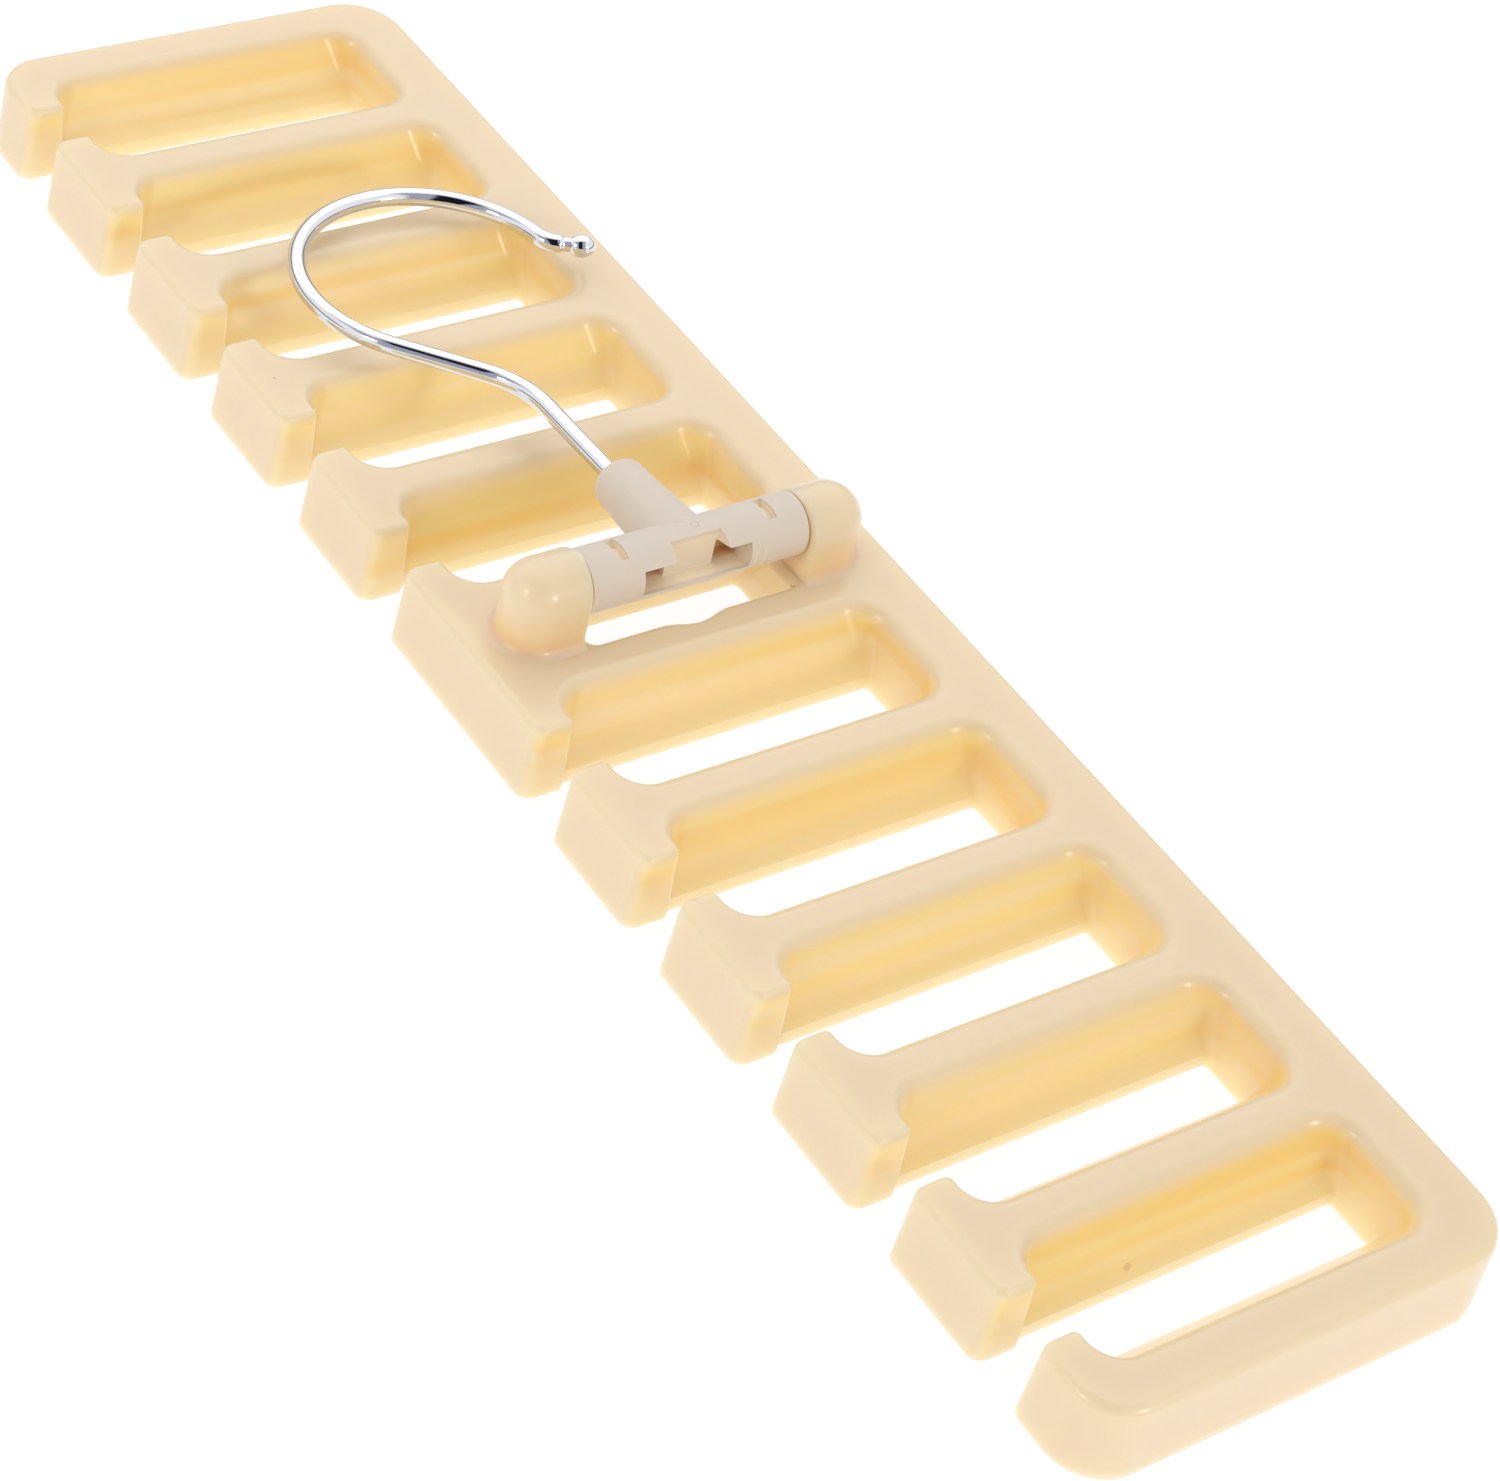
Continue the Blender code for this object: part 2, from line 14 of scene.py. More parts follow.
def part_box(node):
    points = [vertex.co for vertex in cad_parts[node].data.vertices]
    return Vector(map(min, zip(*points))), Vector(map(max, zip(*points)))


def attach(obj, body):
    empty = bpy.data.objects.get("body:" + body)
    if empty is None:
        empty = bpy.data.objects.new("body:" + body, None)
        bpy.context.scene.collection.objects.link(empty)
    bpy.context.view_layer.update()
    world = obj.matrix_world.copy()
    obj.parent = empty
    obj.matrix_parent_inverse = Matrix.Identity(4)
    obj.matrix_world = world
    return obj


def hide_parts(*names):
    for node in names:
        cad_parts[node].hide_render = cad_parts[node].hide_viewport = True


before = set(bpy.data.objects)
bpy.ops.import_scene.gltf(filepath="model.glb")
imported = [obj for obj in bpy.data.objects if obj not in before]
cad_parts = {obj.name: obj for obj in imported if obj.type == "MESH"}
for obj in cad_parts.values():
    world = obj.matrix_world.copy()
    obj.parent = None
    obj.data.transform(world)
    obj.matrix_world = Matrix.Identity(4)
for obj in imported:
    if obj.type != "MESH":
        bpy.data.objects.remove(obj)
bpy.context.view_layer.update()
PLATE_LOW, PLATE_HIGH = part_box("comb_plate")

bl_info = {
    "name": "Belt Hanger",
    "version": (1, 0, 0),
    "blender": (4, 5, 0),
    "location": "3D View > Sidebar > Belt Hanger",
    "description": "Builds a folding belt hanger: a moulded comb plate, a pivot piece and a wire hook",
    "category": "Add Mesh",
}

# Comb plate. Each group of three is read at the underside, at the skirt's top and at the virtual top edge.
BARS_PER_SIDE = 6
MIDDLE_BAR_SPACING = 0.0180
SKIRT_HEIGHT = 0.0028
BAR_HALF_WIDTHS = (0.00925, 0.00940, 0.00285)
HEAD_HALF_WIDTHS = (0.01030, 0.01025, 0.01000)
HEAD_FRONTS = (0.0, 0.00010, 0.00055)
HEAD_BACKS = (0.00730, 0.00725, 0.00710)
SLOT_ENDS = (0.06355, 0.06365, 0.06440)
END_INSETS = (0.0, 0.00010, 0.00060)
SPINE_INSETS = (0.0, 0.00005, 0.00030)
SLOT_CORNER_RADII = (0.00080, 0.00100, 0.00560)
OUTER_FRONT_RADII = (0.00840, 0.00840, 0.00780)
OUTER_SPINE_RADII = (0.00980, 0.00980, 0.00940)
HEAD_FRONT_RADIUS = 0.0022
HEAD_BACK_RADIUS = 0.00125
LEAST_FILLET = 0.00030
LEAST_STRAIGHT = 0.00003
HEAD_EDGE_RADIUS = 0.0012
HEAD_BACK_EDGE_RADIUS = 0.0011
BAR_EDGE_RADIUS = 0.0028
OUTER_EDGE_RADIUS = 0.0017
WINDOW_EDGE_RADIUS = 0.0016
FOOT_EDGE_RADIUS = 0.00025
WINDOW_HALF_WIDTHS = (0.00950, 0.00900, 0.00463)
WINDOW_END_OVERLAPS = (0.00115, 0.00060, -0.00165)
WINDOW_CORNER_RADIUS = 0.0012
STEM_NOTCH_DEPTHS = (0.0, 0.0, 0.00155)
STEM_NOTCH_LENGTH = 0.0128

# Ears and pivot. Ears are keyed -1 for the one at the heads and 1 for the one at the spine.
AXIS_HEIGHT = 0.0208
PIVOT_CENTRE_Y = 0.0369
EAR_GAP_HALF = 0.0197
EAR_RADII = {-1: 0.0056, 1: 0.0059}
EAR_HEIGHTS = {-1: AXIS_HEIGHT, 1: 0.0198}
EAR_BODY_LENGTH = 0.00615
EAR_FLARE_RADIUS = 0.0016
EAR_ROOT_DEPTH = 0.0016
EAR_RIM_RADIUS = 0.0009
PIN_RADIUS = 0.0025
PIN_LENGTH = 0.0036
PIN_LEAD = 0.0005
PIN_ROOT = 0.0010
PIN_CLEARANCE = 0.00008
BORE_END_ROOM = 0.0005
BARREL_END_GAP = 0.00030
BARREL_CHAMFER = 0.00025
STEM_TIP_RADIUS = 0.0042
STEM_TIP_ROUNDING = 0.0019
STEM_START = 0.0010
STEM_FOOT = ((0.00492, 0.0010), (0.00505, 0.0016), (0.00512, 0.0024))
SLIT_OFFSET = 0.01335
SLIT_WIDTH = 0.00185
SLIT_BOTTOM_RADIUS = 0.0037
SLIT_OUTER_RADIUS = 0.0060
RECESS = (-0.01050, 0.00880)
RECESS_FLOOR = -0.00180
RECESS_CEILING = 0.00250
RECESS_BACK = -0.00100
BLOCK = (-0.00490, 0.00390)
BLOCK_FACE = 0.00175
OPENING_END = 0.00420
OPENING_DRAFT = 0.27
OPENING_INSET = 0.00003
CUT_REACH = 0.0090

# Wire hook, along the stem and sideways from the pivot centre.
WIRE_CLEARANCE = 0.00008
WIRE_START = 0.0085
SHANK_BEND_CORNER = 0.04463
SHANK_BEND_RADIUS = 0.0168
LOOP_CENTRE = (0.07512, 0.00221)
TIP_BEND_RADIUS = 0.0045
TIP_STRAIGHT = 0.0038
NECK_RADIUS = 0.00118
NECK_LENGTH = 0.0028
BALL_RADIUS = 0.0019
BALL_HALF_LENGTH = 0.0023

LOOP_END_ANGLE = math.radians(80)
TIP_BEND_ANGLE = math.radians(50)
REST_TILT = math.radians(-2.6)
SLIT_FROM = math.radians(60)
SLIT_TO = math.radians(116)
SHARP_ANGLE = math.radians(33)
QUARTER = math.pi / 2
MERGE_DISTANCE = 1e-7

# How finely each curve is divided.
FRONT_STEPS = 8
BACK_STEPS = 6
FILLET_STEPS = 12
SLOT_STEPS = 14
OUTER_STEPS = 20
WINDOW_STEPS = 6
NOTCH_STEPS = 20
EDGE_STEPS = 8
FOOT_STEPS = 3
WALL_STEPS = 5
EAR_STEPS = 32
DOME_STEPS = 20
ROUND_STEPS = 96
SLIT_STEPS = 12
WIRE_SIDES = 32
WIRE_STEP_ANGLE = math.radians(2)
BALL_STEPS = 16

WHITE = (1.0, 1.0, 1.0, 1.0)

# Ivory plastic, where its colours change and where light is painted into them: a painted glow in the slots and
# at the ears' feet, and painted light at the plate's foot and in the gap by the ear at the heads. Levels are
# shares of the plate's thickness, and fades are lengths.
END_ARM_WIDTH = 0.0062
FRONT_FADE = (0.0002, 0.0012)
BACK_FADE = 0.0015
END_FADE = 0.0010
# The slots' painted glow: how far it reaches onto the heads' sides at the entries, where it fades out near the
# top and where it turns deep.
ENTRY_FADE = (0.0016, 0.0003)
ENTRY_SHARE = 0.7
WALL_TOP = (0.80, 1.0)
DEEP_LEVELS = (0.25, 0.62)
STREAK_SCALE = (60.0, 14.0, 320.0)
STREAK_SPREAD = (0.25, 0.75)
STREAK_DRIFT = 0.11
PEACH_SCALE = (40.0, 7.0, 300.0)
PEACH_SPREAD = (0.42, 0.66)
PEACH_SHARE = 0.75
PEACH = (1.0, 0.80, 0.50, 1.0)
AMBER_SHIFT = (3.0, 1.0, 7.0)
AMBER_SCALE = (30.0, 6.0, 260.0)
AMBER_SPREAD = (0.48, 0.66)
AMBER_LEVELS = (0.30, 0.50)
AMBER_SHARE = 0.85
AMBER = (1.0, 0.70, 0.24, 1.0)
EAR_START = (1.0, 1.08)
# Painted glow at the ears' feet, standing in for light through the plastic.
EAR_FOOT_LEVELS = (1.08, 1.65)
EAR_FOOT_GLOW_SHARE = 0.8
EAR_FOOT_GLOW_COLOUR = (0.96, 0.70, 0.38, 1.0)
# Painted light on the face of the ear at the heads, beside the barrel, where the gap lies in shade.
EAR_FACE_FADE = (0.0001, 0.0008)
GAP_LIGHT_SHARE = 0.45
GAP_LIGHT_COLOUR = (1.0, 0.86, 0.62, 1.0)
HEADS_SIDE = (-0.001, 0.001)
# Painted light from the floor: a paler band round the foot of the plate.
BOUNCE_LEVELS = (0.02, 0.16)
BOUNCE_SHARE = 0.15
BOUNCE_COLOUR = (1.0, 0.95, 0.84, 1.0)
IVORY_GLOSS = (0.285, 0.325)

# Greige plastic, where its colours change and where light and shade are painted into them.
SKIN_FADE = (0.0010, 0.0003)
# Painted light: paler, warmer inner faces of the recess, slits and bores, where they lie in shade.
INNER_LIGHT_COLOUR = (0.86, 0.76, 0.60, 1.0)
POCKET_START = -0.0003
SLIT_ZONE = (0.01035, 0.01185)
# Painted light inside the slits, which lie in shade.
SLIT_LIGHT_COLOUR = (1.0, 0.88, 0.68, 1.0)
END_FACE_FADE = (0.0003, 0.0001)
LEDGE_HEIGHTS = (-0.0017, -0.0013)
# Painted light on the recess ledge and the barrel's end faces, which lie in shade.
LEDGE_LIGHT_COLOUR = (1.0, 0.86, 0.66, 1.0)
# Painted shade on the barrel's end face at the spine, in the gap to the ear.
SPINE_END_SHADE_COLOUR = (0.80, 0.50, 0.19, 1.0)
GREIGE_GLOSS = (0.42, 0.54)

CHROME_GLOSS = (0.05, 0.11)

# Small marks: place, radius and strength of dark spots on the comb, the ring left by an ejector and two pale
# lines on the barrel.
COMB_MARKS = (
    ((0.1293, -0.0113, 0.0046), 0.00040, 0.26),
    ((-0.0646, -0.0329, 0.0134), 0.00016, 0.40),
    ((0.0993, -0.0374, 0.0085), 0.00014, 0.30),
    ((0.0056, 0.0177, 0.0128), 0.00022, 0.60),
    ((0.0048, 0.0179, 0.0123), 0.00018, 0.35),
)
COMB_MARK_COLOUR = (0.35, 0.22, 0.10, 1.0)
EJECTOR_MARK = ((-0.0001, 0.0008, 0.0050), 0.00065)
EJECTOR_LINE = 0.00020
EJECTOR_SOFTNESS = 0.00010
EJECTOR_SHARE = 0.30
EJECTOR_COLOUR = (0.42, 0.32, 0.24, 1.0)
STRIPES = (0.0097, 0.0113)
STRIPE_FADE = (0.00005, 0.00035)
STRIPE_FOOT = (-0.0040, -0.0030)
STRIPE_TOP = (0.0008, 0.0018)
STRIPE_SHARE = 0.40
STRIPE_COLOUR = (0.98, 0.86, 0.68, 1.0)

# Floor, room and lamps. A lamp has its name, direction, distance, side, power and colour.
FLOOR_GAP = 0.0002
FLOOR_WHITENESS = 0.84
FLOOR_GLOW = 0.50
ROOM_COLOUR = (1.0, 0.985, 0.965, 1.0)
LAMPS = (
    ("lamp_front", (0.115, -0.883, 0.455), 1.3, 0.18, 1.8, (1.0, 0.98, 0.95)),
    ("lamp_end", (0.896, 0.264, 0.361), 1.3, 0.20, 2.4, (1.0, 0.97, 0.92)),
    ("lamp_ceiling", (-0.42, 0.12, 0.70), 0.82, 1.3, 3.3, (1.0, 0.99, 0.98)),
)

# Camera, at the photograph's angle.
CAMERA_PLACE = (0.33653, -0.31222, 0.39026)
CAMERA_TURN = (0.8322034, -0.20584766, 0.97092138)
CAMERA_LENS = 95.36
CAMERA_NEAR = 0.01
SENSOR_WIDTH = 36.0

# Card seen in the chrome: its distance, its half angles, and its dark and grey fields' half extents and fades.
CARD_DISTANCE = 1.60
CARD_REACH = (math.radians(60), math.radians(60))
CARD_FIELDS = (((0.20, 0.66), 0.07), ((0.50, 0.74), 0.12))
CARD_DARK = (0.010, 0.010, 0.014, 1.0)
CARD_GREY = (0.42, 0.42, 0.50, 1.0)
CARD_STEPS = 24
HORIZON_DISTANCE = 2.0
HORIZON_TOP = 0.52
HORIZON_FOOT_SHARE = 0.3
HORIZON_SEGMENTS = 64
HORIZON_GREY = (0.16, 0.16, 0.19, 1.0)


class CombSettings(bpy.types.PropertyGroup):
    """Sizes and colours of the comb plate."""

    width: FloatProperty(
        name="Width",
        description="From the fronts of the finger heads to the spine",
        default=PLATE_HIGH.y - PLATE_LOW.y,
        unit="LENGTH",
    )
    length: FloatProperty(
        name="Length",
        description="From one end arm to the other",
        default=PLATE_HIGH.x - PLATE_LOW.x,
        unit="LENGTH",
    )
    thickness: FloatProperty(
        name="Thickness",
        description="Height of the plate without its ears",
        default=0.0134,
        unit="LENGTH",
    )
    pitch: FloatProperty(
        name="Slot pitch",
        description="Spacing of the slots in each half",
        default=0.0280,
        unit="LENGTH",
    )
    colour: FloatVectorProperty(
        name="Plastic",
        description="Colour of the open faces",
        subtype="COLOR",
        size=4,
        default=(0.830, 0.688, 0.482, 1.0),
    )
    # Painted glow: stands in for light that the thin walls let through and that bounces between them.
    wall_glow_colour: FloatVectorProperty(
        name="Slot walls",
        description="Warmer colour deep in the slots, where the thin walls let light through",
        subtype="COLOR",
        size=4,
        default=(1.000, 0.775, 0.340, 1.0),
    )
    # Painted light: the paler foot of the slot walls stands in for light from the floor below.
    foot_light_colour: FloatVectorProperty(
        name="Slot feet",
        description="Paler colour at the foot of the slot walls",
        subtype="COLOR",
        size=4,
        default=(0.980, 0.800, 0.490, 1.0),
    )


class PivotSettings(bpy.types.PropertyGroup):
    """Sizes and colours of the pivot piece."""

    barrel_radius: FloatProperty(
        name="Barrel radius",
        description="Radius of the barrel between the ears",
        default=0.0050,
        unit="LENGTH",
    )
    stem_length: FloatProperty(
        name="Stem length",
        description="From the pivot axis to the stem's tip",
        default=0.0196,
        unit="LENGTH",
    )
    colour: FloatVectorProperty(
        name="Plastic",
        description="Colour of the outer faces",
        subtype="COLOR",
        size=4,
        default=(0.745, 0.665, 0.585, 1.0),
    )
    # Painted shade with warm bounced light deep in the pockets.
    pocket_shade_colour: FloatVectorProperty(
        name="Pockets",
        description="Warmer colour inside the pockets",
        subtype="COLOR",
        size=4,
        default=(0.720, 0.430, 0.190, 1.0),
    )


class HookSettings(bpy.types.PropertyGroup):
    """Sizes and colour of the wire hook."""

    wire_diameter: FloatProperty(
        name="Wire diameter",
        description="Thickness of the wire",
        default=0.0030,
        unit="LENGTH",
    )
    loop_radius: FloatProperty(
        name="Loop radius",
        description="Radius of the hook's loop at the middle of the wire",
        default=0.02206,
        unit="LENGTH",
    )
    colour: FloatVectorProperty(
        name="Chrome",
        description="Tint of the plated wire",
        subtype="COLOR",
        size=4,
        default=(0.770, 0.782, 0.820, 1.0),
    )


class StageSettings(bpy.types.PropertyGroup):
    """Floor and light."""

    floor_size: FloatProperty(
        name="Floor size",
        description="Side of the square floor",
        default=6.0,
        unit="LENGTH",
    )
    floor_colour: FloatVectorProperty(
        name="Floor",
        description="Colour of the floor",
        subtype="COLOR",
        size=4,
        default=(0.800, 0.800, 0.800, 1.0),
    )
    sky_strength: FloatProperty(
        name="Room light",
        description="Strength of the even light from all around",
        default=0.60,
    )


# Node helpers.


def add_node(tree, kind, inputs=None, **settings):
    """A node with its settings, and its inputs set or linked by name or place."""
    node = tree.nodes.new(kind)
    for name, value in settings.items():
        setattr(node, name, value)
    for key, value in (inputs or {}).items():
        if isinstance(value, bpy.types.NodeSocket):
            tree.links.new(value, node.inputs[key])
        else:
            node.inputs[key].default_value = value
    return node


def math_node(tree, operation, *values):
    return add_node(tree, "ShaderNodeMath", dict(enumerate(values)), operation=operation).outputs[0]


def product(tree, first, second):
    return math_node(tree, "MULTIPLY", first, second)


def between(tree, value, start, end, low=0.0, high=1.0):
    """The value's smooth step from low at start to high at end."""
    limits = {"Value": value, "From Min": start, "From Max": end, "To Min": low, "To Max": high}
    return add_node(tree, "ShaderNodeMapRange", limits, interpolation_type="SMOOTHSTEP").outputs["Result"]


def mix_colours(tree, share, first, second):
    node = add_node(tree, "ShaderNodeMix", data_type="RGBA")
    for key, value in (("Factor_Float", share), ("A_Color", first), ("B_Color", second)):
        socket = next(s for s in node.inputs if s.identifier == key)
        if isinstance(value, bpy.types.NodeSocket):
            tree.links.new(value, socket)
        else:
            socket.default_value = value
    return next(s for s in node.outputs if s.identifier == "Result_Color")


def noise(tree, place, scale, detail=2.0):
    inputs = {"Vector": place, "Scale": scale, "Detail": detail}
    return add_node(tree, "ShaderNodeTexNoise", inputs).outputs["Fac"]


def stretched(tree, place, scale, shift=(0.0, 0.0, 0.0)):
    """Coordinates in which a noise runs in streaks."""
    return add_node(tree, "ShaderNodeMapping", {"Vector": place, "Location": shift, "Scale": scale}).outputs[0]


def scaled(colour, factor):
    return tuple(min(1.0, c * factor) for c in colour[:3]) + (1.0,)


def clouded(tree, place, base, tint, scale, share, detail=2.0, spread=(0.3, 0.7)):
    """The base colour with soft clouds of a tint."""
    return mix_colours(tree, between(tree, noise(tree, place, scale, detail), *spread, 0.0, share), base, tint)


def uneven_gloss(tree, shader, place, limits, scale, detail=3.0, spread=(0.2, 0.8)):
    """Roughness that wanders between two limits."""
    gloss = between(tree, noise(tree, place, scale, detail), *spread, *limits)
    tree.links.new(gloss, shader.inputs["Roughness"])


def new_material(name):
    material = bpy.data.materials.new(name)
    material.use_nodes = True
    tree = material.node_tree
    place = tree.nodes.new("ShaderNodeTexCoord").outputs["Object"]
    return material, tree, tree.nodes["Principled BSDF"], place


def set_inputs(shader, values):
    for name, value in values.items():
        shader.inputs[name].default_value = value


def grain(tree, shader, place, coarse_scale, fine_scale, coarse, fine):
    """Normal of a moulded skin: a slow waviness under a fine grain."""
    slow = {"Height": noise(tree, place, coarse_scale), "Strength": 1.0, "Distance": coarse}
    quick = {"Height": noise(tree, place, fine_scale, 3.0), "Strength": 1.0, "Distance": fine}
    quick["Normal"] = add_node(tree, "ShaderNodeBump", slow).outputs[0]
    tree.links.new(add_node(tree, "ShaderNodeBump", quick).outputs[0], shader.inputs["Normal"])


def near_point(tree, place, point, radius, softness):
    """1 within a radius of a point, 0 beyond the radius and the softness."""
    away = add_node(tree, "ShaderNodeVectorMath", {0: place, 1: point}, operation="DISTANCE").outputs["Value"]
    return between(tree, away, radius, radius + softness, 1.0, 0.0)


def slot_share(tree, parts, settings):
    """Where the slots' painted glow goes: 1 on the slots' walls, less on the heads' sides at the entries, and
    0 elsewhere.
    """
    along = math_node(tree, "ABSOLUTE", parts["X"])
    front = HEAD_BACKS[0] - settings.width / 2
    back = SLOT_ENDS[0] - settings.width / 2
    end = settings.length / 2 - END_ARM_WIDTH
    step = (front - FRONT_FADE[0], front + FRONT_FADE[1])
    inside = product(
        tree,
        between(tree, parts["Y"], *step),
        between(tree, parts["Y"], back, back + BACK_FADE, 1.0, 0.0),
    )
    inside = product(tree, inside, between(tree, along, end, end + END_FADE, 1.0, 0.0))
    beside = math_node(tree, "SUBTRACT", along, MIDDLE_BAR_SPACING / 2)
    beside = math_node(tree, "WRAP", beside, settings.pitch / 2, -settings.pitch / 2)
    beside = math_node(tree, "ABSOLUTE", beside)
    side = HEAD_HALF_WIDTHS[0]
    entry = between(tree, beside, side - ENTRY_FADE[0], side - ENTRY_FADE[1], 0.0, ENTRY_SHARE)
    outside = between(tree, parts["Y"], *step, 1.0, 0.0)
    return math_node(tree, "MAXIMUM", inside, product(tree, entry, outside))


def slot_glow_colour(tree, place, height, settings):
    """Painted glow on the slots' walls, standing in for light let through the thin walls and bounced between
    them: paler at the foot, where painted floor light falls, with streaks of peach and amber.
    """
    streaks = noise(tree, stretched(tree, place, STREAK_SCALE), 1.0)
    drift = between(tree, streaks, *STREAK_SPREAD, -STREAK_DRIFT, STREAK_DRIFT)
    level = math_node(tree, "ADD", height, drift)
    depth = between(tree, level, *DEEP_LEVELS)
    deep = mix_colours(tree, depth, tuple(settings.foot_light_colour), tuple(settings.wall_glow_colour))
    veins = noise(tree, stretched(tree, place, PEACH_SCALE), 1.0, 1.0)
    deep = mix_colours(tree, between(tree, veins, *PEACH_SPREAD, 0.0, PEACH_SHARE), deep, PEACH)
    seams = noise(tree, stretched(tree, place, AMBER_SCALE, AMBER_SHIFT), 1.0, 1.0)
    amber = between(tree, seams, *AMBER_SPREAD, 0.0, AMBER_SHARE)
    amber = product(tree, amber, between(tree, level, *AMBER_LEVELS))
    return mix_colours(tree, amber, deep, AMBER)


def ear_colour(tree, parts, height, body, settings):
    """The body colour with a painted warm glow at the ears' feet and painted light in the gap beside the
    barrel at the heads' end.
    """
    middle = math_node(tree, "SUBTRACT", parts["Y"], PIVOT_CENTRE_Y - settings.width / 2)
    middle = math_node(tree, "ABSOLUTE", middle)
    near, far = (EAR_GAP_HALF + fade for fade in EAR_FACE_FADE)
    facing = between(tree, middle, near, far, 1.0, 0.0)
    raised = between(tree, height, *EAR_START)
    # Painted glow, warmer towards the ears' feet.
    ear_foot_glow = product(tree, raised, between(tree, height, *EAR_FOOT_LEVELS, EAR_FOOT_GLOW_SHARE, 0.0))
    body = mix_colours(tree, ear_foot_glow, body, EAR_FOOT_GLOW_COLOUR)
    # Painted light in the shaded gap between the barrel and the ear at the heads.
    at_heads = between(tree, parts["Y"], *HEADS_SIDE, GAP_LIGHT_SHARE, 0.0)
    gap_light = product(tree, product(tree, facing, raised), at_heads)
    return mix_colours(tree, gap_light, body, GAP_LIGHT_COLOUR)


def ivory_material(settings):
    material, tree, shader, place = new_material("ivory_plastic")
    parts = add_node(tree, "ShaderNodeSeparateXYZ", {0: place}).outputs
    height = math_node(tree, "DIVIDE", parts["Z"], settings.thickness)
    # Painted glow on the slots' walls and the heads' sides at the entries, fading out near the top.
    slot_glow = product(tree, between(tree, height, *WALL_TOP, 1.0, 0.0), slot_share(tree, parts, settings))
    body = mix_colours(tree, slot_glow, tuple(settings.colour), slot_glow_colour(tree, place, height, settings))
    body = ear_colour(tree, parts, height, body, settings)
    # Painted light from the floor, paler towards the underside.
    body = mix_colours(tree, between(tree, height, *BOUNCE_LEVELS, BOUNCE_SHARE, 0.0), body, BOUNCE_COLOUR)
    body = clouded(tree, place, body, scaled(settings.colour, 1.05), scale=30.0, share=0.10)
    for point, radius, strength in COMB_MARKS:
        mark = product(tree, near_point(tree, place, point, radius, radius), strength)
        body = mix_colours(tree, mark, body, COMB_MARK_COLOUR)
    tree.links.new(body, shader.inputs["Base Color"])
    uneven_gloss(tree, shader, place, IVORY_GLOSS, scale=160.0)
    grain(tree, shader, place, coarse_scale=220.0, fine_scale=2600.0, coarse=0.000010, fine=0.0000006)
    set_inputs(
        shader,
        {
            "IOR": 1.49,
            "Coat Weight": 0.30,
            "Coat Roughness": 0.20,
            "Subsurface Weight": 0.70,
            "Subsurface Radius": (1.0, 0.84, 0.54),
            "Subsurface Scale": 0.0060,
        },
    )
    return material


def pivot_colour(tree, parts, settings):
    """Colour of the pivot piece, with painted light on its inner faces, slits, ledge and the barrel's end at
    the heads, and painted shade on the barrel's end at the spine and in the pockets.
    """
    flat = add_node(tree, "ShaderNodeCombineXYZ", {"X": parts["X"], "Z": parts["Z"]}).outputs[0]
    from_axis = add_node(tree, "ShaderNodeVectorMath", {0: flat}, operation="LENGTH").outputs["Value"]
    inner_start, inner_end = (settings.barrel_radius - fade for fade in SKIN_FADE)
    inner = between(tree, from_axis, inner_start, inner_end, 1.0, 0.0)
    middle = math_node(tree, "ABSOLUTE", parts["Y"])
    face = [EAR_GAP_HALF - BARREL_END_GAP - fade for fade in END_FACE_FADE]
    slits = between(tree, middle, *SLIT_ZONE)
    # Painted light on the inner faces.
    base = mix_colours(tree, inner, tuple(settings.colour), INNER_LIGHT_COLOUR)
    # Painted light inside the slits.
    base = mix_colours(tree, product(tree, inner, slits), base, SLIT_LIGHT_COLOUR)
    # Painted light on the shaded ledge and the barrel's end faces.
    ledge = product(tree, inner, between(tree, parts["Z"], *LEDGE_HEIGHTS, 1.0, 0.0))
    painted_light = math_node(tree, "MAXIMUM", between(tree, middle, *face), ledge)
    base = mix_colours(tree, painted_light, base, LEDGE_LIGHT_COLOUR)
    # Painted shade on the barrel's end at the spine.
    base = mix_colours(tree, between(tree, parts["Y"], *face), base, SPINE_END_SHADE_COLOUR)
    # Painted shade in the pockets, darkest at the back.
    pocket = product(tree, inner, between(tree, parts["X"], POCKET_START, BLOCK_FACE, 1.0, 0.0))
    pocket = product(tree, pocket, math_node(tree, "SUBTRACT", 1.0, slits))
    return mix_colours(tree, pocket, base, tuple(settings.pocket_shade_colour))


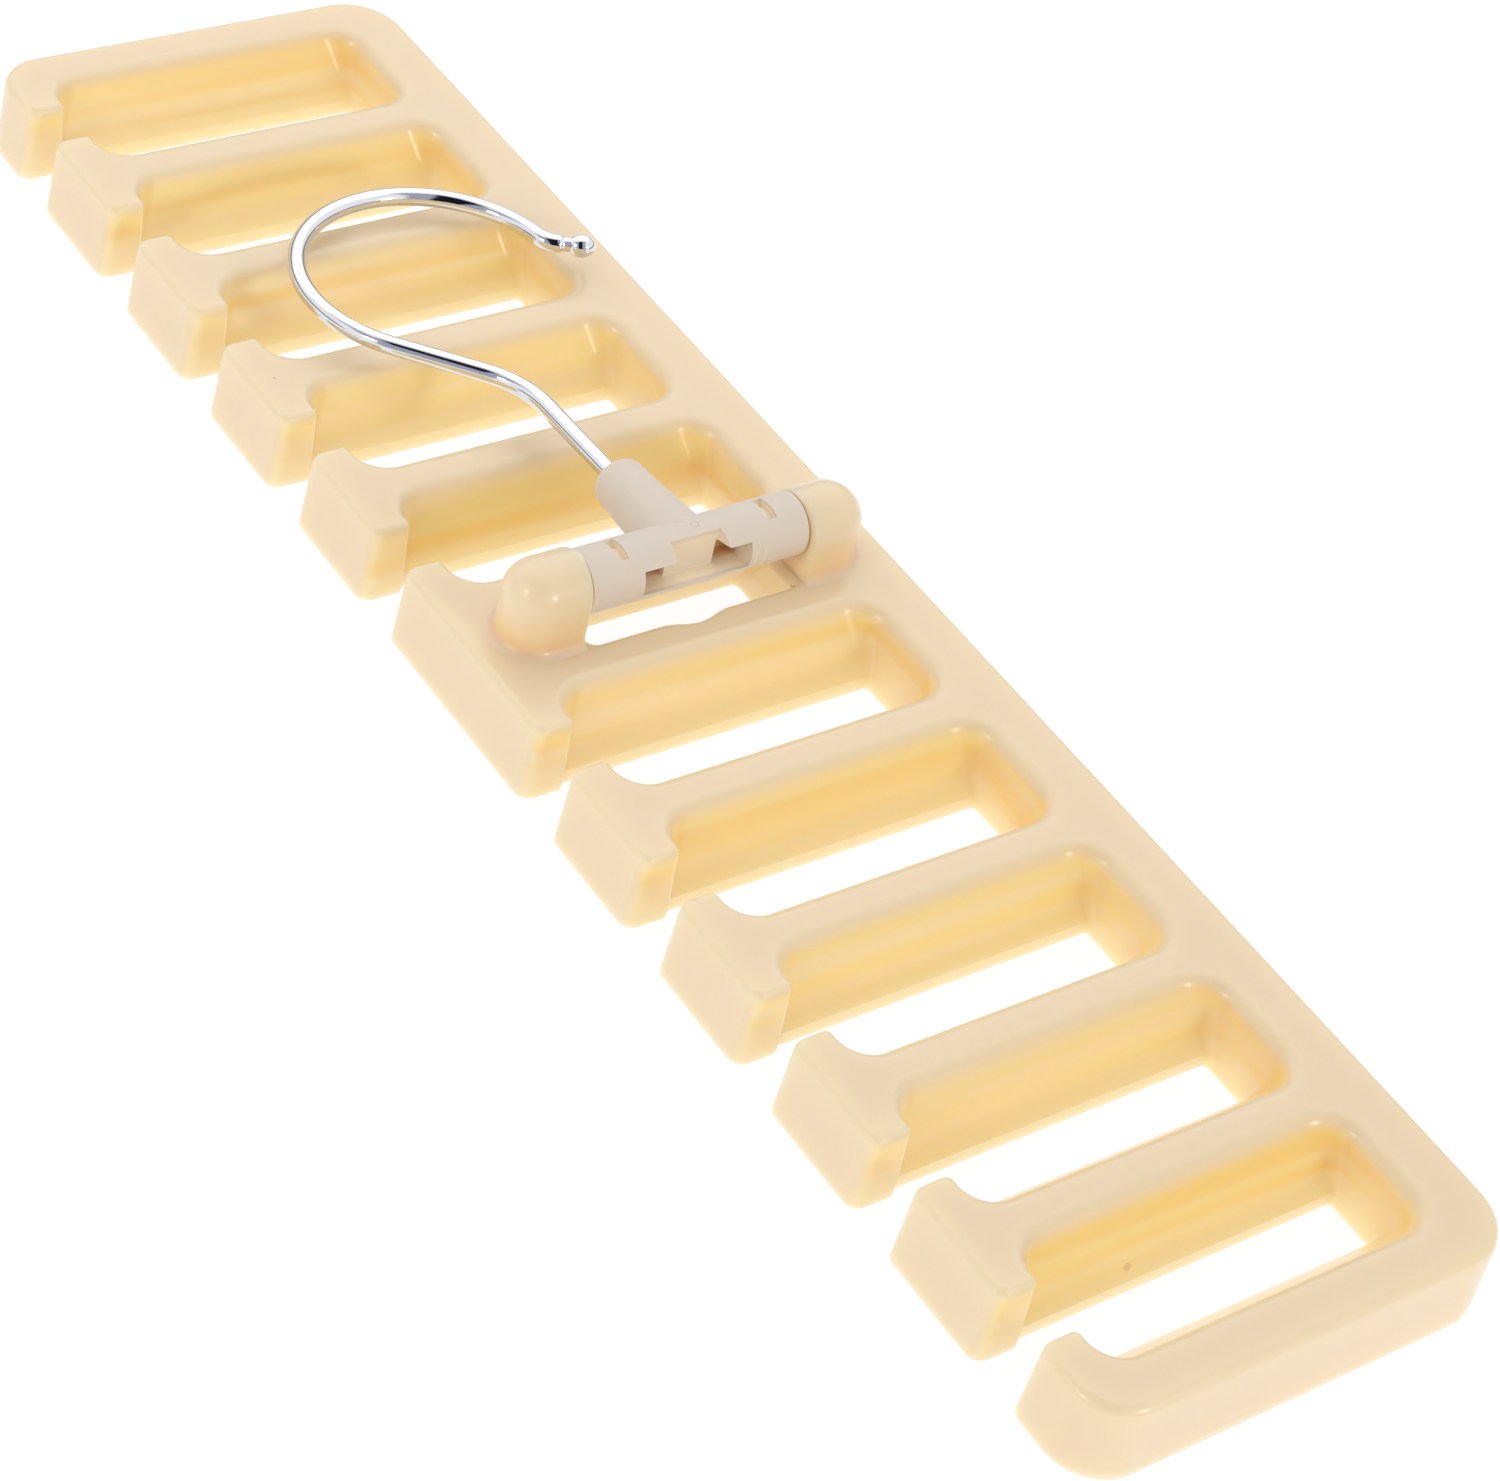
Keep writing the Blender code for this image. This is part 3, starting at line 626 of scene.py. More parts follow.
def greige_material(settings):
    material, tree, shader, place = new_material("greige_plastic")
    parts = add_node(tree, "ShaderNodeSeparateXYZ", {0: place}).outputs
    base = pivot_colour(tree, parts, settings)
    foot = between(tree, parts["Z"], *STRIPE_FOOT)
    stripe_zone = product(tree, foot, between(tree, parts["Z"], *STRIPE_TOP, 1.0, 0.0))
    for offset in STRIPES:
        away = math_node(tree, "ABSOLUTE", math_node(tree, "SUBTRACT", parts["Y"], offset))
        band = product(tree, between(tree, away, *STRIPE_FADE, STRIPE_SHARE, 0.0), stripe_zone)
        base = mix_colours(tree, band, base, STRIPE_COLOUR)
    base = clouded(tree, place, base, scaled(settings.colour, 1.06), scale=120.0, share=0.12)
    point, radius = EJECTOR_MARK
    ring = math_node(
        tree,
        "SUBTRACT",
        near_point(tree, place, point, radius, EJECTOR_SOFTNESS),
        near_point(tree, place, point, radius - EJECTOR_LINE, EJECTOR_SOFTNESS),
    )
    base = mix_colours(tree, product(tree, ring, EJECTOR_SHARE), base, EJECTOR_COLOUR)
    tree.links.new(base, shader.inputs["Base Color"])
    uneven_gloss(tree, shader, place, GREIGE_GLOSS, scale=500.0)
    grain(tree, shader, place, coarse_scale=600.0, fine_scale=5200.0, coarse=0.000008, fine=0.000001)
    set_inputs(
        shader,
        {
            "IOR": 1.47,
            "Subsurface Weight": 0.30,
            "Subsurface Radius": (1.0, 0.70, 0.45),
            "Subsurface Scale": 0.0020,
        },
    )
    return material


def chrome_material(settings):
    material, tree, shader, place = new_material("chrome_wire")
    colour = tuple(settings.colour)
    dull = scaled(colour, 0.92)
    tint = clouded(tree, place, colour, dull, scale=260.0, share=0.5, detail=3.0, spread=(0.35, 0.7))
    tree.links.new(tint, shader.inputs["Base Color"])
    uneven_gloss(tree, shader, place, CHROME_GLOSS, scale=900.0, detail=4.0, spread=(0.3, 0.75))
    grain(tree, shader, place, coarse_scale=350.0, fine_scale=4200.0, coarse=0.000006, fine=0.0000006)
    set_inputs(shader, {"Metallic": 1.0})
    return material


# Mesh helpers.


def object_from_bmesh(name, bm):
    bmesh.ops.remove_doubles(bm, verts=bm.verts, dist=MERGE_DISTANCE)
    bmesh.ops.recalc_face_normals(bm, faces=bm.faces)
    mesh = bpy.data.meshes.new(name)
    bm.to_mesh(mesh)
    bm.free()
    obj = bpy.data.objects.new(name, mesh)
    bpy.context.scene.collection.objects.link(obj)
    return obj


def loft(bm, rings):
    """Side faces between closed rings of equal length, lowest ring first."""
    made = [[bm.verts.new(point) for point in ring] for ring in rings]
    for low, high in zip(made, made[1:]):
        count = len(low)
        for i in range(count):
            j = (i + 1) % count
            bm.faces.new((low[i], low[j], high[j], high[i]))
    return made


def capped_loft(name, rings):
    bm = bmesh.new()
    made = loft(bm, rings)
    bm.faces.new(list(reversed(made[0])))
    bm.faces.new(made[-1])
    return object_from_bmesh(name, bm)


def applied(obj):
    """The object with its modifiers worked into its mesh."""
    graph = bpy.context.evaluated_depsgraph_get()
    mesh = bpy.data.meshes.new_from_object(obj.evaluated_get(graph))
    obj.modifiers.clear()
    obj.data = mesh
    return obj


def boolean(target, other, operation):
    """Joins or cuts the target with the other object, which is used up."""
    modifier = target.modifiers.new(operation, "BOOLEAN")
    modifier.operation = operation
    modifier.solver = "EXACT"
    modifier.object = other
    applied(target)
    bpy.data.objects.remove(other)


def shade(obj, material):
    """Smooth shading with crisp creases, weighted by face area so that flats stay flat."""
    obj.data.materials.clear()
    obj.data.materials.append(material)
    for polygon in obj.data.polygons:
        polygon.use_smooth = True
        polygon.material_index = 0
    obj.data.set_sharp_from_angle(angle=SHARP_ANGLE)
    weighted = obj.modifiers.new("Even shading", "WEIGHTED_NORMAL")
    weighted.keep_sharp = True
    return obj


def turned(name, profile, steps):
    """Profile of (radius, along) points revolved about Z."""
    mesh = bpy.data.meshes.new(name)
    points = [(radius, 0.0, along) for radius, along in profile]
    mesh.from_pydata(points, [(i, i + 1) for i in range(len(points) - 1)], [])
    obj = bpy.data.objects.new(name, mesh)
    bpy.context.scene.collection.objects.link(obj)
    screw = obj.modifiers.new("Turn", "SCREW")
    screw.axis = "Z"
    screw.steps = steps
    screw.render_steps = steps
    screw.use_merge_vertices = True
    screw.merge_threshold = MERGE_DISTANCE
    return applied(obj)


def placed(obj, turn):
    """The object's mesh turned by the matrix, with outward faces."""
    bm = bmesh.new()
    bm.from_mesh(obj.data)
    bmesh.ops.remove_doubles(bm, verts=bm.verts, dist=MERGE_DISTANCE)
    bmesh.ops.transform(bm, verts=bm.verts, matrix=turn)
    bmesh.ops.recalc_face_normals(bm, faces=bm.faces)
    bm.to_mesh(obj.data)
    bm.free()
    return obj


# Comb plate.


def rounded_path(corners):
    """Closed path through (x, y, radius, steps, edge in, edge out) corners, and its edge roundings."""
    points = []
    edges = []
    count = len(corners)
    for i, (x, y, radius, steps, edge_in, edge_out) in enumerate(corners):
        here = Vector((x, y))
        before = (Vector(corners[i - 1][:2]) - here).normalized()
        after = (Vector(corners[(i + 1) % count][:2]) - here).normalized()
        half = math.acos(max(-1, min(1, before.dot(after)))) / 2
        centre = here + (before + after).normalized() * (radius / math.sin(half))
        start = here + before * (radius / math.tan(half)) - centre
        end = here + after * (radius / math.tan(half)) - centre
        sweep = start.angle_signed(end)
        for step in range(steps + 1):
            share = step / steps
            arm = start.copy()
            arm.rotate(Matrix.Rotation(-sweep * share, 2))
            points.append(centre + arm)
            edges.append(edge_in + (edge_out - edge_in) * share)
    return points, edges


def outward_normals(points):
    """Unit normals pointing right of the direction of travel."""
    normals = []
    count = len(points)
    for i in range(count):
        before = (points[i] - points[i - 1]).normalized()
        after = (points[(i + 1) % count] - points[i]).normalized()
        along = (before + after).normalized()
        normals.append(Vector((along.y, -along.x)) / max(along.dot(after), 0.5))
    return normals


def wall_rings(bottom, skirt, top, edges, thickness):
    """Rings from the underside round its small edge, up the walls and over the rounded top edge."""
    rings = []
    for step in range(FOOT_STEPS + 1):
        turn = QUARTER * step / FOOT_STEPS
        inwards = FOOT_EDGE_RADIUS * (1 - math.sin(turn))
        height = FOOT_EDGE_RADIUS * (1 - math.cos(turn))
        share = height / SKIRT_HEIGHT
        ring = []
        for low, high, normal in zip(bottom, skirt, outward_normals(bottom)):
            flat = low.lerp(high, share) - normal * inwards
            ring.append(Vector((flat.x, flat.y, height)))
        rings.append(ring)
    rings.append([Vector((p.x, p.y, SKIRT_HEIGHT)) for p in skirt])
    rise = thickness - SKIRT_HEIGHT
    arcs = []
    for step in range(EDGE_STEPS + 1):
        ring = []
        for low, high, normal, radius in zip(skirt, top, outward_normals(top), edges):
            slope = math.atan2((low - high).dot(normal.normalized()), rise)
            turn = slope + (QUARTER - slope) * step / EDGE_STEPS
            reach = radius * (math.cos(turn) - math.tan((QUARTER - slope) / 2))
            flat = high + normal * reach
            ring.append(Vector((flat.x, flat.y, thickness - radius * (1 - math.sin(turn)))))
        arcs.append(ring)
    for step in range(1, WALL_STEPS):
        share = step / WALL_STEPS
        rings.append([low.lerp(high, share) for low, high in zip(rings[FOOT_STEPS + 1], arcs[0])])
    return rings + arcs


def comb_corners(level, settings):
    """Corners of the comb's outline, counter-clockwise from the -X end of the front."""
    bar = BAR_HALF_WIDTHS[level]
    head = HEAD_HALF_WIDTHS[level]
    front = HEAD_FRONTS[level]
    back = HEAD_BACKS[level]
    end = SLOT_ENDS[level]
    length = settings.length / 2 - END_INSETS[level]
    spine = settings.width - SPINE_INSETS[level]
    slot_corner = SLOT_CORNER_RADII[level]
    shoulder = min(HEAD_BACK_RADIUS, head - bar - LEAST_FILLET)
    fillet = head - bar - shoulder - LEAST_STRAIGHT
    head_edge = (HEAD_EDGE_RADIUS, HEAD_EDGE_RADIUS)
    back_edge = (HEAD_BACK_EDGE_RADIUS, HEAD_BACK_EDGE_RADIUS)
    bar_edge = (BAR_EDGE_RADIUS, BAR_EDGE_RADIUS)
    outer_edge = (OUTER_EDGE_RADIUS, OUTER_EDGE_RADIUS)
    positive = [MIDDLE_BAR_SPACING / 2 + settings.pitch * i for i in range(BARS_PER_SIDE)]
    bars = [-x for x in reversed(positive)] + positive
    corners = [(-length, front, OUTER_FRONT_RADII[level], OUTER_STEPS, *outer_edge)]
    for left, right in zip(bars, bars[1:]):
        if right - left < settings.pitch / 2 + MIDDLE_BAR_SPACING / 2:
            continue
        corners += [
            (left + head, front, HEAD_FRONT_RADIUS, FRONT_STEPS, *head_edge),
            (left + head, back, shoulder, BACK_STEPS, *back_edge),
            (left + bar, back, fillet, FILLET_STEPS, HEAD_BACK_EDGE_RADIUS, BAR_EDGE_RADIUS),
            (left + bar, end, slot_corner, SLOT_STEPS, *bar_edge),
            (right - bar, end, slot_corner, SLOT_STEPS, *bar_edge),
            (right - bar, back, fillet, FILLET_STEPS, BAR_EDGE_RADIUS, HEAD_BACK_EDGE_RADIUS),
            (right - head, back, shoulder, BACK_STEPS, *back_edge),
            (right - head, front, HEAD_FRONT_RADIUS, FRONT_STEPS, *head_edge),
        ]
    corners += [
        (length, front, OUTER_FRONT_RADII[level], OUTER_STEPS, *outer_edge),
        (length, spine, OUTER_SPINE_RADII[level], OUTER_STEPS, *outer_edge),
        (-length, spine, OUTER_SPINE_RADII[level], OUTER_STEPS, *outer_edge),
    ]
    return corners


def window_path(level):
    """The window's outline, clockwise, with a notch for the stem in each long side."""
    side = WINDOW_HALF_WIDTHS[level]
    reach = EAR_GAP_HALF + WINDOW_END_OVERLAPS[level]
    depth = STEM_NOTCH_DEPTHS[level]
    corner = (WINDOW_CORNER_RADIUS, WINDOW_STEPS, WINDOW_EDGE_RADIUS, WINDOW_EDGE_RADIUS)
    points, _ = rounded_path(
        [
            (side, PIVOT_CENTRE_Y - reach, *corner),
            (-side, PIVOT_CENTRE_Y - reach, *corner),
            (-side, PIVOT_CENTRE_Y + reach, *corner),
            (side, PIVOT_CENTRE_Y + reach, *corner),
        ]
    )
    notch = []
    for step in range(NOTCH_STEPS + 1):
        share = step / NOTCH_STEPS
        swell = depth * (1 - math.cos(2 * math.pi * share)) / 2
        notch.append((side + swell, (share - 0.5) * STEM_NOTCH_LENGTH))
    half = 2 * (WINDOW_STEPS + 1)
    left = [Vector((-x, PIVOT_CENTRE_Y + y)) for x, y in notch]
    right = [Vector((x, PIVOT_CENTRE_Y - y)) for x, y in notch]
    path = points[:half] + left + points[half:] + right
    return path, [WINDOW_EDGE_RADIUS] * len(path)


def plan_cap(bm, outer, hole, upwards):
    """Two faces that fill the plan between an outer ring and a hole in it."""
    first, second = 0, 2 * WINDOW_STEPS + 1
    start, end = (
        min(range(len(outer)), key=lambda i: (outer[i].co - hole[k].co).length) for k in (first, second)
    )
    halves = [
        outer[end : start + 1] + hole[first : second + 1],
        outer[start:] + outer[: end + 1] + hole[second:] + hole[: first + 1],
    ]
    for half in halves:
        bm.faces.new(half if upwards else list(reversed(half)))


def plate_body(settings):
    levels = [rounded_path(comb_corners(level, settings)) for level in range(len(BAR_HALF_WIDTHS))]
    windows = [window_path(level) for level in range(len(WINDOW_HALF_WIDTHS))]
    bm = bmesh.new()
    rims = []
    for paths in (levels, windows):
        bottom, skirt, (top, edges) = paths[0][0], paths[1][0], paths[2]
        rims.append(loft(bm, wall_rings(bottom, skirt, top, edges, settings.thickness)))
    plan_cap(bm, rims[0][0], rims[1][0], False)
    plan_cap(bm, rims[0][-1], rims[1][-1], True)
    bmesh.ops.translate(bm, verts=bm.verts, vec=Vector((0.0, -settings.width / 2, 0.0)))
    return object_from_bmesh("comb", bm)


def ear_rings(side, settings):
    """Outlines of one ear from its root to its crest. Side is -1 at the heads and 1 at the spine."""
    face = side * EAR_GAP_HALF
    centre = side * (EAR_GAP_HALF + EAR_BODY_LENGTH)
    foot = settings.thickness
    radius = EAR_RADII[side]
    levels = [(foot - EAR_ROOT_DEPTH, radius + EAR_FLARE_RADIUS), (foot, radius + EAR_FLARE_RADIUS)]
    for step in range(1, DOME_STEPS // 2 + 1):
        turn = QUARTER * step / (DOME_STEPS // 2)
        width = radius + EAR_FLARE_RADIUS * (1 - math.sin(turn))
        levels.append((foot + EAR_FLARE_RADIUS * (1 - math.cos(turn)), width))
    for step in range(DOME_STEPS + 1):
        turn = QUARTER * step / DOME_STEPS
        levels.append((EAR_HEIGHTS[side] + radius * math.sin(turn), radius * math.cos(turn)))
    rings = []
    for height, width in levels:
        rim = min(EAR_RIM_RADIUS, width / 2)
        ring = []
        for step in range(BACK_STEPS + 1):
            turn = QUARTER * step / BACK_STEPS
            ring.append((width - rim * (1 - math.sin(turn)), face + side * rim * (1 - math.cos(turn))))
        for step in range(EAR_STEPS + 1):
            turn = 2 * QUARTER * step / EAR_STEPS
            ring.append((width * math.cos(turn), centre + side * width * math.sin(turn)))
        for step in range(BACK_STEPS + 1):
            turn = QUARTER * (1 - step / BACK_STEPS)
            ring.append((-width + rim * (1 - math.sin(turn)), face + side * rim * (1 - math.cos(turn))))
        shift = PIVOT_CENTRE_Y - settings.width / 2
        rings.append([Vector((x, y + shift, height)) for x, y in ring])
    return rings


def ear(side, settings):
    bm = bmesh.new()
    made = loft(bm, ear_rings(side, settings))
    bm.faces.new(list(reversed(made[0])))
    return object_from_bmesh("ear", bm)


def pin(side, settings):
    """Stub pin on an ear, pointing into the barrel."""
    profile = [
        (0.0, PIN_LENGTH),
        (PIN_RADIUS - PIN_LEAD, PIN_LENGTH),
        (PIN_RADIUS, PIN_LENGTH - PIN_LEAD),
        (PIN_RADIUS, -PIN_ROOT),
        (0.0, -PIN_ROOT),
    ]
    place = Vector((0.0, PIVOT_CENTRE_Y - settings.width / 2 + side * EAR_GAP_HALF, AXIS_HEIGHT))
    turn = Matrix.Translation(place) @ Matrix.Rotation(side * QUARTER, 4, "X")
    return placed(turned("pin", profile, ROUND_STEPS), turn)


# Pivot piece, about an axis along Y with the stem towards -X.


def plan_cut(outline, low, high):
    """Prism on an outline of (along the barrel, outwards), between two heights."""
    rings = [[Vector((outwards, y, height)) for y, outwards in outline] for height in (low, high)]
    return capped_loft("cut", rings)


def recess_cut():
    """The low part of the recess, with a deep pocket on each side of the block."""
    (left, right), (start, end) = RECESS, BLOCK
    outline = [
        (left, CUT_REACH),
        (left, RECESS_BACK),
        (start, RECESS_BACK),
        (start, BLOCK_FACE),
        (end, BLOCK_FACE),
        (end, RECESS_BACK),
        (right, RECESS_BACK),
        (right, CUT_REACH),
    ]
    return plan_cut(outline, RECESS_FLOOR, RECESS_CEILING)


def opening_cut():
    """The high part of the recess, in front of the block. Its spine end leans outwards."""
    start = BLOCK[0] + OPENING_INSET
    face = BLOCK_FACE + OPENING_INSET
    lean = OPENING_DRAFT * (CUT_REACH - face)
    outline = [(start, CUT_REACH), (start, face), (OPENING_END, face), (OPENING_END + lean, CUT_REACH)]
    return plan_cut(outline, RECESS_CEILING - OPENING_INSET, CUT_REACH)


def slit_cut(side):
    """Arc-shaped cut across the top of the barrel."""
    rings = []
    for step in range(SLIT_STEPS + 1):
        turn = SLIT_FROM + (SLIT_TO - SLIT_FROM) * step / SLIT_STEPS
        ring = []
        for radius, along in (
            (SLIT_BOTTOM_RADIUS, -SLIT_WIDTH / 2),
            (SLIT_OUTER_RADIUS, -SLIT_WIDTH / 2),
            (SLIT_OUTER_RADIUS, SLIT_WIDTH / 2),
            (SLIT_BOTTOM_RADIUS, SLIT_WIDTH / 2),
        ):
            y = side * SLIT_OFFSET + along
            ring.append(Vector((radius * math.cos(turn), y, radius * math.sin(turn))))
        rings.append(ring)
    return capped_loft("slit", rings)


def barrel(radius):
    end = EAR_GAP_HALF - BARREL_END_GAP
    bore = PIN_RADIUS + PIN_CLEARANCE
    floor = EAR_GAP_HALF - PIN_LENGTH - BORE_END_ROOM
    half = [(0.0, floor), (bore, floor), (bore, end)]
    for step in range(FOOT_STEPS + 1):
        turn = QUARTER * (1 - step / FOOT_STEPS)
        inwards = BARREL_CHAMFER * (1 - math.cos(turn))
        half.append((radius - inwards, end - BARREL_CHAMFER * (1 - math.sin(turn))))
    profile = half + [(across, -along) for across, along in reversed(half)]
    return placed(turned("pivot", profile, ROUND_STEPS), Matrix.Rotation(QUARTER, 4, "X"))


def stem(length, wire_diameter):
    """Tapered round stem with a rounded tip and a blind bore for the wire."""
    bore = wire_diameter / 2 + WIRE_CLEARANCE
    floor = WIRE_START - BORE_END_ROOM
    profile = [(0.0, STEM_START), *STEM_FOOT]
    for step in range(DOME_STEPS + 1):
        turn = QUARTER * step / DOME_STEPS
        across = STEM_TIP_RADIUS - STEM_TIP_ROUNDING * (1 - math.cos(turn))
        profile.append((across, length - STEM_TIP_ROUNDING * (1 - math.sin(turn))))
    profile += [(bore, length), (bore, floor), (0.0, floor)]
    return placed(turned("stem", list(reversed(profile)), ROUND_STEPS), Matrix.Rotation(-QUARTER, 4, "Y"))


# Wire hook.


def arc(centre, radius, start, sweep):
    """Points of an arc in the hook's plane, both ends left in."""
    steps = max(2, math.ceil(abs(sweep) / WIRE_STEP_ANGLE))
    points = []
    for step in range(steps + 1):
        turn = start + sweep * step / steps
        points.append((centre[0] + radius * math.cos(turn), centre[1] + radius * math.sin(turn)))
    return points


def wire_path(settings):
    """Centre line of the wire as (along the stem, sideways, radius)."""
    radius = settings.wire_diameter / 2
    loop = settings.loop_radius
    away = Vector(LOOP_CENTRE) - Vector((SHANK_BEND_CORNER, 0.0))
    lead = math.atan2(away.y, away.x) - math.asin(loop / away.length)
    tangent = SHANK_BEND_RADIUS * math.tan(-lead / 2)
    bend_centre = (SHANK_BEND_CORNER - tangent, -SHANK_BEND_RADIUS)
    path = [(WIRE_START, 0.0)]
    path += arc(bend_centre, SHANK_BEND_RADIUS, QUARTER, lead)
    loop_start = lead - QUARTER
    path += arc(LOOP_CENTRE, loop, loop_start, LOOP_END_ANGLE - loop_start)
    tip_start = Vector(path[-1])
    outward = Vector((math.cos(LOOP_END_ANGLE), math.sin(LOOP_END_ANGLE)))
    tip_centre = tip_start + outward * TIP_BEND_RADIUS
    path += arc(tip_centre, TIP_BEND_RADIUS, LOOP_END_ANGLE + 2 * QUARTER, -TIP_BEND_ANGLE)[1:]
    points = [(x, y, radius) for x, y in path]
    heading = LOOP_END_ANGLE + QUARTER - TIP_BEND_ANGLE
    along = Vector((math.cos(heading), math.sin(heading)))
    last = Vector(path[-1])
    ball = last + along * TIP_STRAIGHT
    neck = ball - along * NECK_LENGTH
    taper = (neck - last).length
    start = math.asin(NECK_RADIUS / BALL_RADIUS)
    for step in range(1, BALL_STEPS + 1):
        share = step / BALL_STEPS
        swell = radius + (NECK_RADIUS - radius) * (1 - math.cos(math.pi * share)) / 2
        place = last + along * (taper * share)
        points.append((place.x, place.y, swell))
    for step in range(BALL_STEPS + 1):
        turn = start + (2 * QUARTER - start) * step / BALL_STEPS
        place = ball - along * (BALL_HALF_LENGTH * math.cos(turn))
        points.append((place.x, place.y, BALL_RADIUS * math.sin(turn)))
    return points


def tube(name, path):
    """Round tube through points of a path in the XY plane, closed at both ends."""
    centres = [Vector((-along, sideways, 0.0)) for along, sideways, _ in path]
    rings = []
    for i, (centre, (_, _, radius)) in enumerate(zip(centres, path)):
        before = centres[max(i - 1, 0)]
        after = centres[min(i + 1, len(centres) - 1)]
        heading = (after - before).normalized()
        aside = Vector((-heading.y, heading.x, 0.0))
        ring = []
        for step in range(WIRE_SIDES):
            turn = 2 * math.pi * step / WIRE_SIDES
            rise = Vector((0.0, 0.0, radius * math.sin(turn)))
            ring.append(centre + aside * (radius * math.cos(turn)) + rise)
        rings.append(ring)
    return capped_loft(name, rings)


def pivot_place(width):
    axis = Vector((0.0, PIVOT_CENTRE_Y - width / 2, AXIS_HEIGHT))
    return Matrix.Translation(axis) @ Matrix.Rotation(REST_TILT, 4, "Y")


class BELTHANGER_OT_comb(bpy.types.Operator):
    """Add the comb plate with its two ears, in ivory plastic"""

    bl_idname = "belt_hanger.comb"
    bl_label = "Comb Plate"

    def execute(self, context):
        settings = context.scene.belt_hanger_comb
        plate = plate_body(settings)
        for side in (-1, 1):
            boolean(plate, ear(side, settings), "UNION")
            boolean(plate, pin(side, settings), "UNION")
        shade(plate, ivory_material(settings))
        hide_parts("comb_plate")
        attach(plate, "comb")
        return {"FINISHED"}


class BELTHANGER_OT_pivot(bpy.types.Operator):
    """Add the barrel and stem that fold between the ears, in greige plastic"""

    bl_idname = "belt_hanger.pivot"
    bl_label = "Pivot Piece"

    def execute(self, context):
        settings = context.scene.belt_hanger_pivot
        wire = context.scene.belt_hanger_hook.wire_diameter
        piece = barrel(settings.barrel_radius)
        boolean(piece, stem(settings.stem_length, wire), "UNION")
        for cut in (slit_cut(-1), slit_cut(1), recess_cut(), opening_cut()):
            boolean(piece, cut, "DIFFERENCE")
        shade(piece, greige_material(settings))
        piece.matrix_world = pivot_place(context.scene.belt_hanger_comb.width)
        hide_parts("pivot_piece")
        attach(piece, "pivot")
        return {"FINISHED"}


class BELTHANGER_OT_hook(bpy.types.Operator):
    """Add the wire hook with its ball tip, in chrome"""

    bl_idname = "belt_hanger.hook"
    bl_label = "Wire Hook"

    def execute(self, context):
        settings = context.scene.belt_hanger_hook
        hook = tube("hook", wire_path(settings))
        shade(hook, chrome_material(settings))
        hook.matrix_world = pivot_place(context.scene.belt_hanger_comb.width)
        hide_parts("wire_hook")
        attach(hook, "hook")
        return {"FINISHED"}


def camera_share(tree):
    """1 for rays of the camera and of mirrors and glass, 0 for the rays that light the object."""
    rays = tree.nodes.new("ShaderNodeLightPath").outputs
    seen = math_node(tree, "MAXIMUM", rays["Is Camera Ray"], rays["Is Glossy Ray"])
    return math_node(tree, "MAXIMUM", seen, rays["Is Transmission Ray"])


def floor_material(settings):
    material, tree, shader, place = new_material("floor_paint")
    colour = tuple(settings.floor_colour)
    tint = clouded(tree, place, colour, scaled(colour, 0.97), scale=4.0, share=0.05)
    tree.links.new(tint, shader.inputs["Base Color"])
    glow = {"Emission Color": WHITE, "Emission Strength": FLOOR_GLOW}
    set_inputs(shader, {"Roughness": 0.9, "Specular IOR Level": 0.0, **glow})
    paper = add_node(tree, "ShaderNodeEmission", {"Color": WHITE, "Strength": 1.0})
    shown = product(tree, camera_share(tree), FLOOR_WHITENESS)
    mixed = add_node(tree, "ShaderNodeMixShader", {0: shown, 1: shader.outputs[0], 2: paper.outputs[0]})
    tree.links.new(mixed.outputs[0], tree.nodes["Material Output"].inputs["Surface"])
    return material


def sky(settings):
    """Even room light. Camera, mirrors and glass see plain white."""
    world = bpy.data.worlds.new("room")
    bpy.context.scene.world = world
    world.use_nodes = True
    tree = world.node_tree
    tree.nodes.clear()
    room = add_node(tree, "ShaderNodeBackground", {"Color": ROOM_COLOUR, "Strength": settings.sky_strength})
    white = add_node(tree, "ShaderNodeBackground", {"Color": WHITE, "Strength": 1.0})
    mixed = add_node(
        tree,
        "ShaderNodeMixShader",
        {0: camera_share(tree), 1: room.outputs[0], 2: white.outputs[0]},
    )
    add_node(tree, "ShaderNodeOutputWorld", {0: mixed.outputs[0]})


def soft_lamp(name, towards, distance, size, power, colour):
    """Square soft lamp, seen from the object in the given direction."""
    lamp = bpy.data.lights.new(name, "AREA")
    lamp.shape = "SQUARE"
    lamp.size = size
    lamp.energy = power
    lamp.color = colour
    obj = bpy.data.objects.new(name, lamp)
    bpy.context.scene.collection.objects.link(obj)
    away = Vector(towards).normalized()
    obj.location = away * distance
    obj.rotation_euler = away.to_track_quat("Z", "Y").to_euler()
    return obj


def card_tone(tree, parts):
    """Dark in the middle, grey around it and white at the rim, in the card's own turned coordinates."""
    sides = [math_node(tree, "ABSOLUTE", parts[name]) for name in ("X", "Y")]
    fields = []
    for halves, fade in CARD_FIELDS:
        shares = []
        for side, half in zip(sides, halves):
            shares.append(between(tree, side, half * CARD_DISTANCE, (half + fade) * CARD_DISTANCE))
        fields.append(math_node(tree, "MAXIMUM", *shares))
    grey, white = fields
    return mix_colours(tree, white, mix_colours(tree, grey, CARD_DARK, CARD_GREY), WHITE)


def horizon_tone(tree, parts):
    """Grey at floor level and white at the top."""
    rise = between(tree, parts["Z"], HORIZON_FOOT_SHARE * HORIZON_TOP, HORIZON_TOP)
    return mix_colours(tree, rise, HORIZON_GREY, WHITE)


